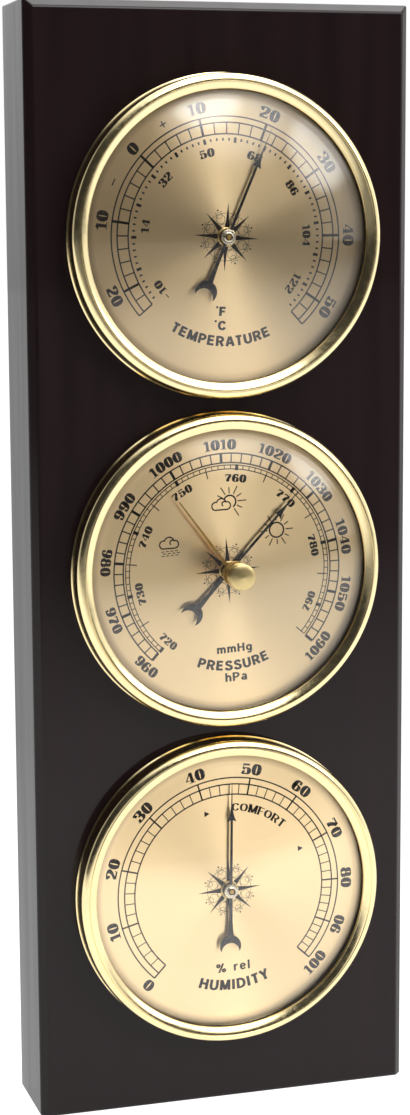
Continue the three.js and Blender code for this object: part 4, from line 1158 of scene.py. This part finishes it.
def studio_world():
    """White to the eye, and elsewhere a dim room with soft patches of light."""
    world = bpy.data.worlds.new("studio")
    bpy.context.scene.world = world
    world.use_nodes = True
    world.node_tree.nodes.clear()
    studio = Nodes(world.node_tree)
    direction = studio.node("TexCoord").outputs["Generated"]
    total = None
    for centre, edge, full, radiance in ROOM:
        toward = studio.node("VectorMath", {0: direction, 1: Vector(centre).normalized()},
                             operation="DOT_PRODUCT")
        low = DIM if total is None else 0.0
        patch = studio.spread(toward.outputs["Value"], low, radiance, edge, full, "SMOOTHSTEP")
        total = patch if total is None else studio.maths("ADD", total, patch)
    eye = studio.node("LightPath").outputs["Is Camera Ray"]
    seen = studio.node("Mix", {"A": total, "B": 1.0, "Factor": eye}, data_type="FLOAT")
    background = studio.node("Background", {
        "Color": (1, 1, 1, 1), "Strength": seen.outputs["Result"]})
    studio.node("OutputWorld", {"Surface": background.outputs[0]})


def floor_paint():
    """Near white paint that glows evenly to the eye and keeps a soft shadow; in the gold and the
    glass it shows a painted glow, brightest just in front of the board, dim far ahead and a little
    dimmer behind.
    """
    paint = settings("stage").floor
    finish = Finish("pale_floor", paint, 0.8)
    finish.tint(3, darker(paint, 0.985))
    rays = finish.node("LightPath").outputs
    seen = finish.maths("MAXIMUM", rays["Is Camera Ray"], rays["Is Transmission Ray"])
    mirrored = finish.maths("MAXIMUM", seen, rays["Is Glossy Ray"])
    split = finish.node("SeparateXYZ", {0: finish.place})
    # Painted light: the glow that reflections see is strongest close in front of the board and dims
    # far ahead of it.
    aslant = finish.maths("MULTIPLY_ADD", split.outputs["X"], 0.25, split.outputs["Y"])
    ahead = finish.spread(aslant, low=0.03, high=1.34, start=-0.9, end=-0.3)
    behind = finish.spread(split.outputs["Y"], low=1.3, high=0.95, start=0.0, end=0.4)
    fading = finish.maths("MINIMUM", ahead, behind)
    strength = finish.maths("MAXIMUM", rays["Is Camera Ray"], fading)
    glow = finish.node("Emission", {"Strength": strength})
    finish.cover(finish.maths("MULTIPLY", mirrored, 0.9), glow.outputs["Emission"])
    return finish.material


def pale_floor():
    """A wide floor at the foot of the board."""
    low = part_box("backboard")[0].z - FLOOR_DROP
    mesh = bpy.data.meshes.new("floor")
    corners = [(x * FLOOR_REACH, y * FLOOR_REACH, low)
               for x, y in ((-1, -1), (1, -1), (1, 1), (-1, 1))]
    mesh.from_pydata(corners, [], [(0, 1, 2, 3)])
    mesh.materials.append(floor_paint())
    linked("floor", mesh)


def key_lamp():
    """A square lamp in front of the board at the right, which shows in no reflection."""
    light = bpy.data.lights.new("key", "AREA")
    light.shape = "RECTANGLE"
    light.size = light.size_y = KEY_SIDE
    light.energy = KEY_RADIANCE * pi * KEY_SIDE * KEY_SIDE * settings("stage").lamps
    lamp = linked("key", light)
    lamp.location = KEY_PLACE
    lamp.visible_camera = False
    lamp.visible_glossy = False
    lamp.visible_transmission = False
    direction = Vector(KEY_TARGET) - lamp.location
    lamp.rotation_euler = direction.to_track_quat("-Z", "Y").to_euler()


def camera():
    """A camera at the photograph's place: left of the board and above its middle."""
    data = bpy.data.cameras.new("camera")
    data.lens = LENS_MILLIMETRES
    data.sensor_width = FILM_MILLIMETRES
    yaw, pitch, roll = (radians(angle) for angle in CAMERA_TURN)
    ahead = Vector((sin(yaw) * cos(pitch), cos(yaw) * cos(pitch), sin(pitch)))
    level = Vector((cos(yaw), -sin(yaw), 0))
    up = level.cross(ahead)
    right = cos(roll) * level + sin(roll) * up
    top = -sin(roll) * level + cos(roll) * up
    axes = Matrix((right, top, -ahead)).transposed()
    made = linked("camera", data)
    made.matrix_world = Matrix.Translation(CAMERA_PLACE) @ axes.to_4x4()
    bpy.context.scene.camera = made


class BAROMETER_OT_stage(Operator):
    """Set up the floor, the soft light and the camera"""

    bl_idname = "barometer.stage"
    bl_label = "Stage"

    def execute(self, context):
        pale_floor()
        studio_world()
        key_lamp()
        camera()
        context.scene.view_settings.view_transform = "Standard"
        return {"FINISHED"}


SETTINGS = {"board": BoardSettings, "bezel": BezelSettings, "dial": DialSettings,
            "hand": HandSettings, "stage": StageSettings}
OPERATORS = (BAROMETER_OT_board, BAROMETER_OT_bezels, BAROMETER_OT_glasses, BAROMETER_OT_dials,
             BAROMETER_OT_needles, BAROMETER_OT_set_hand, BAROMETER_OT_cases,
             BAROMETER_OT_fittings, BAROMETER_OT_stage)


class BAROMETER_PT_panel(Panel):
    """Settings and builders of the wall barometer"""

    bl_idname = "BAROMETER_PT_panel"
    bl_label = "Wall Barometer"
    bl_space_type = "VIEW_3D"
    bl_region_type = "UI"
    bl_category = "Barometer"

    def draw(self, context):
        for part, group in SETTINGS.items():
            box = self.layout.box()
            box.label(text=part.capitalize())
            for name in group.__annotations__:
                box.prop(settings(part), name)
        for operator in OPERATORS:
            self.layout.operator(operator.bl_idname)


def register():
    for item in (*SETTINGS.values(), *OPERATORS, BAROMETER_PT_panel):
        bpy.utils.register_class(item)
    for part, group in SETTINGS.items():
        setattr(Scene, "barometer_" + part, PointerProperty(type=group))


def unregister():
    for part in SETTINGS:
        delattr(Scene, "barometer_" + part)
    for item in (BAROMETER_PT_panel, *reversed(OPERATORS), *SETTINGS.values()):
        bpy.utils.unregister_class(item)


def main():
    register()
    bpy.ops.barometer.board()
    bpy.ops.barometer.bezels()
    bpy.ops.barometer.glasses()
    bpy.ops.barometer.dials()
    bpy.ops.barometer.needles()
    bpy.ops.barometer.set_hand()
    bpy.ops.barometer.cases()
    bpy.ops.barometer.fittings()
    bpy.ops.barometer.stage()


if __name__ == "__main__":
    main()
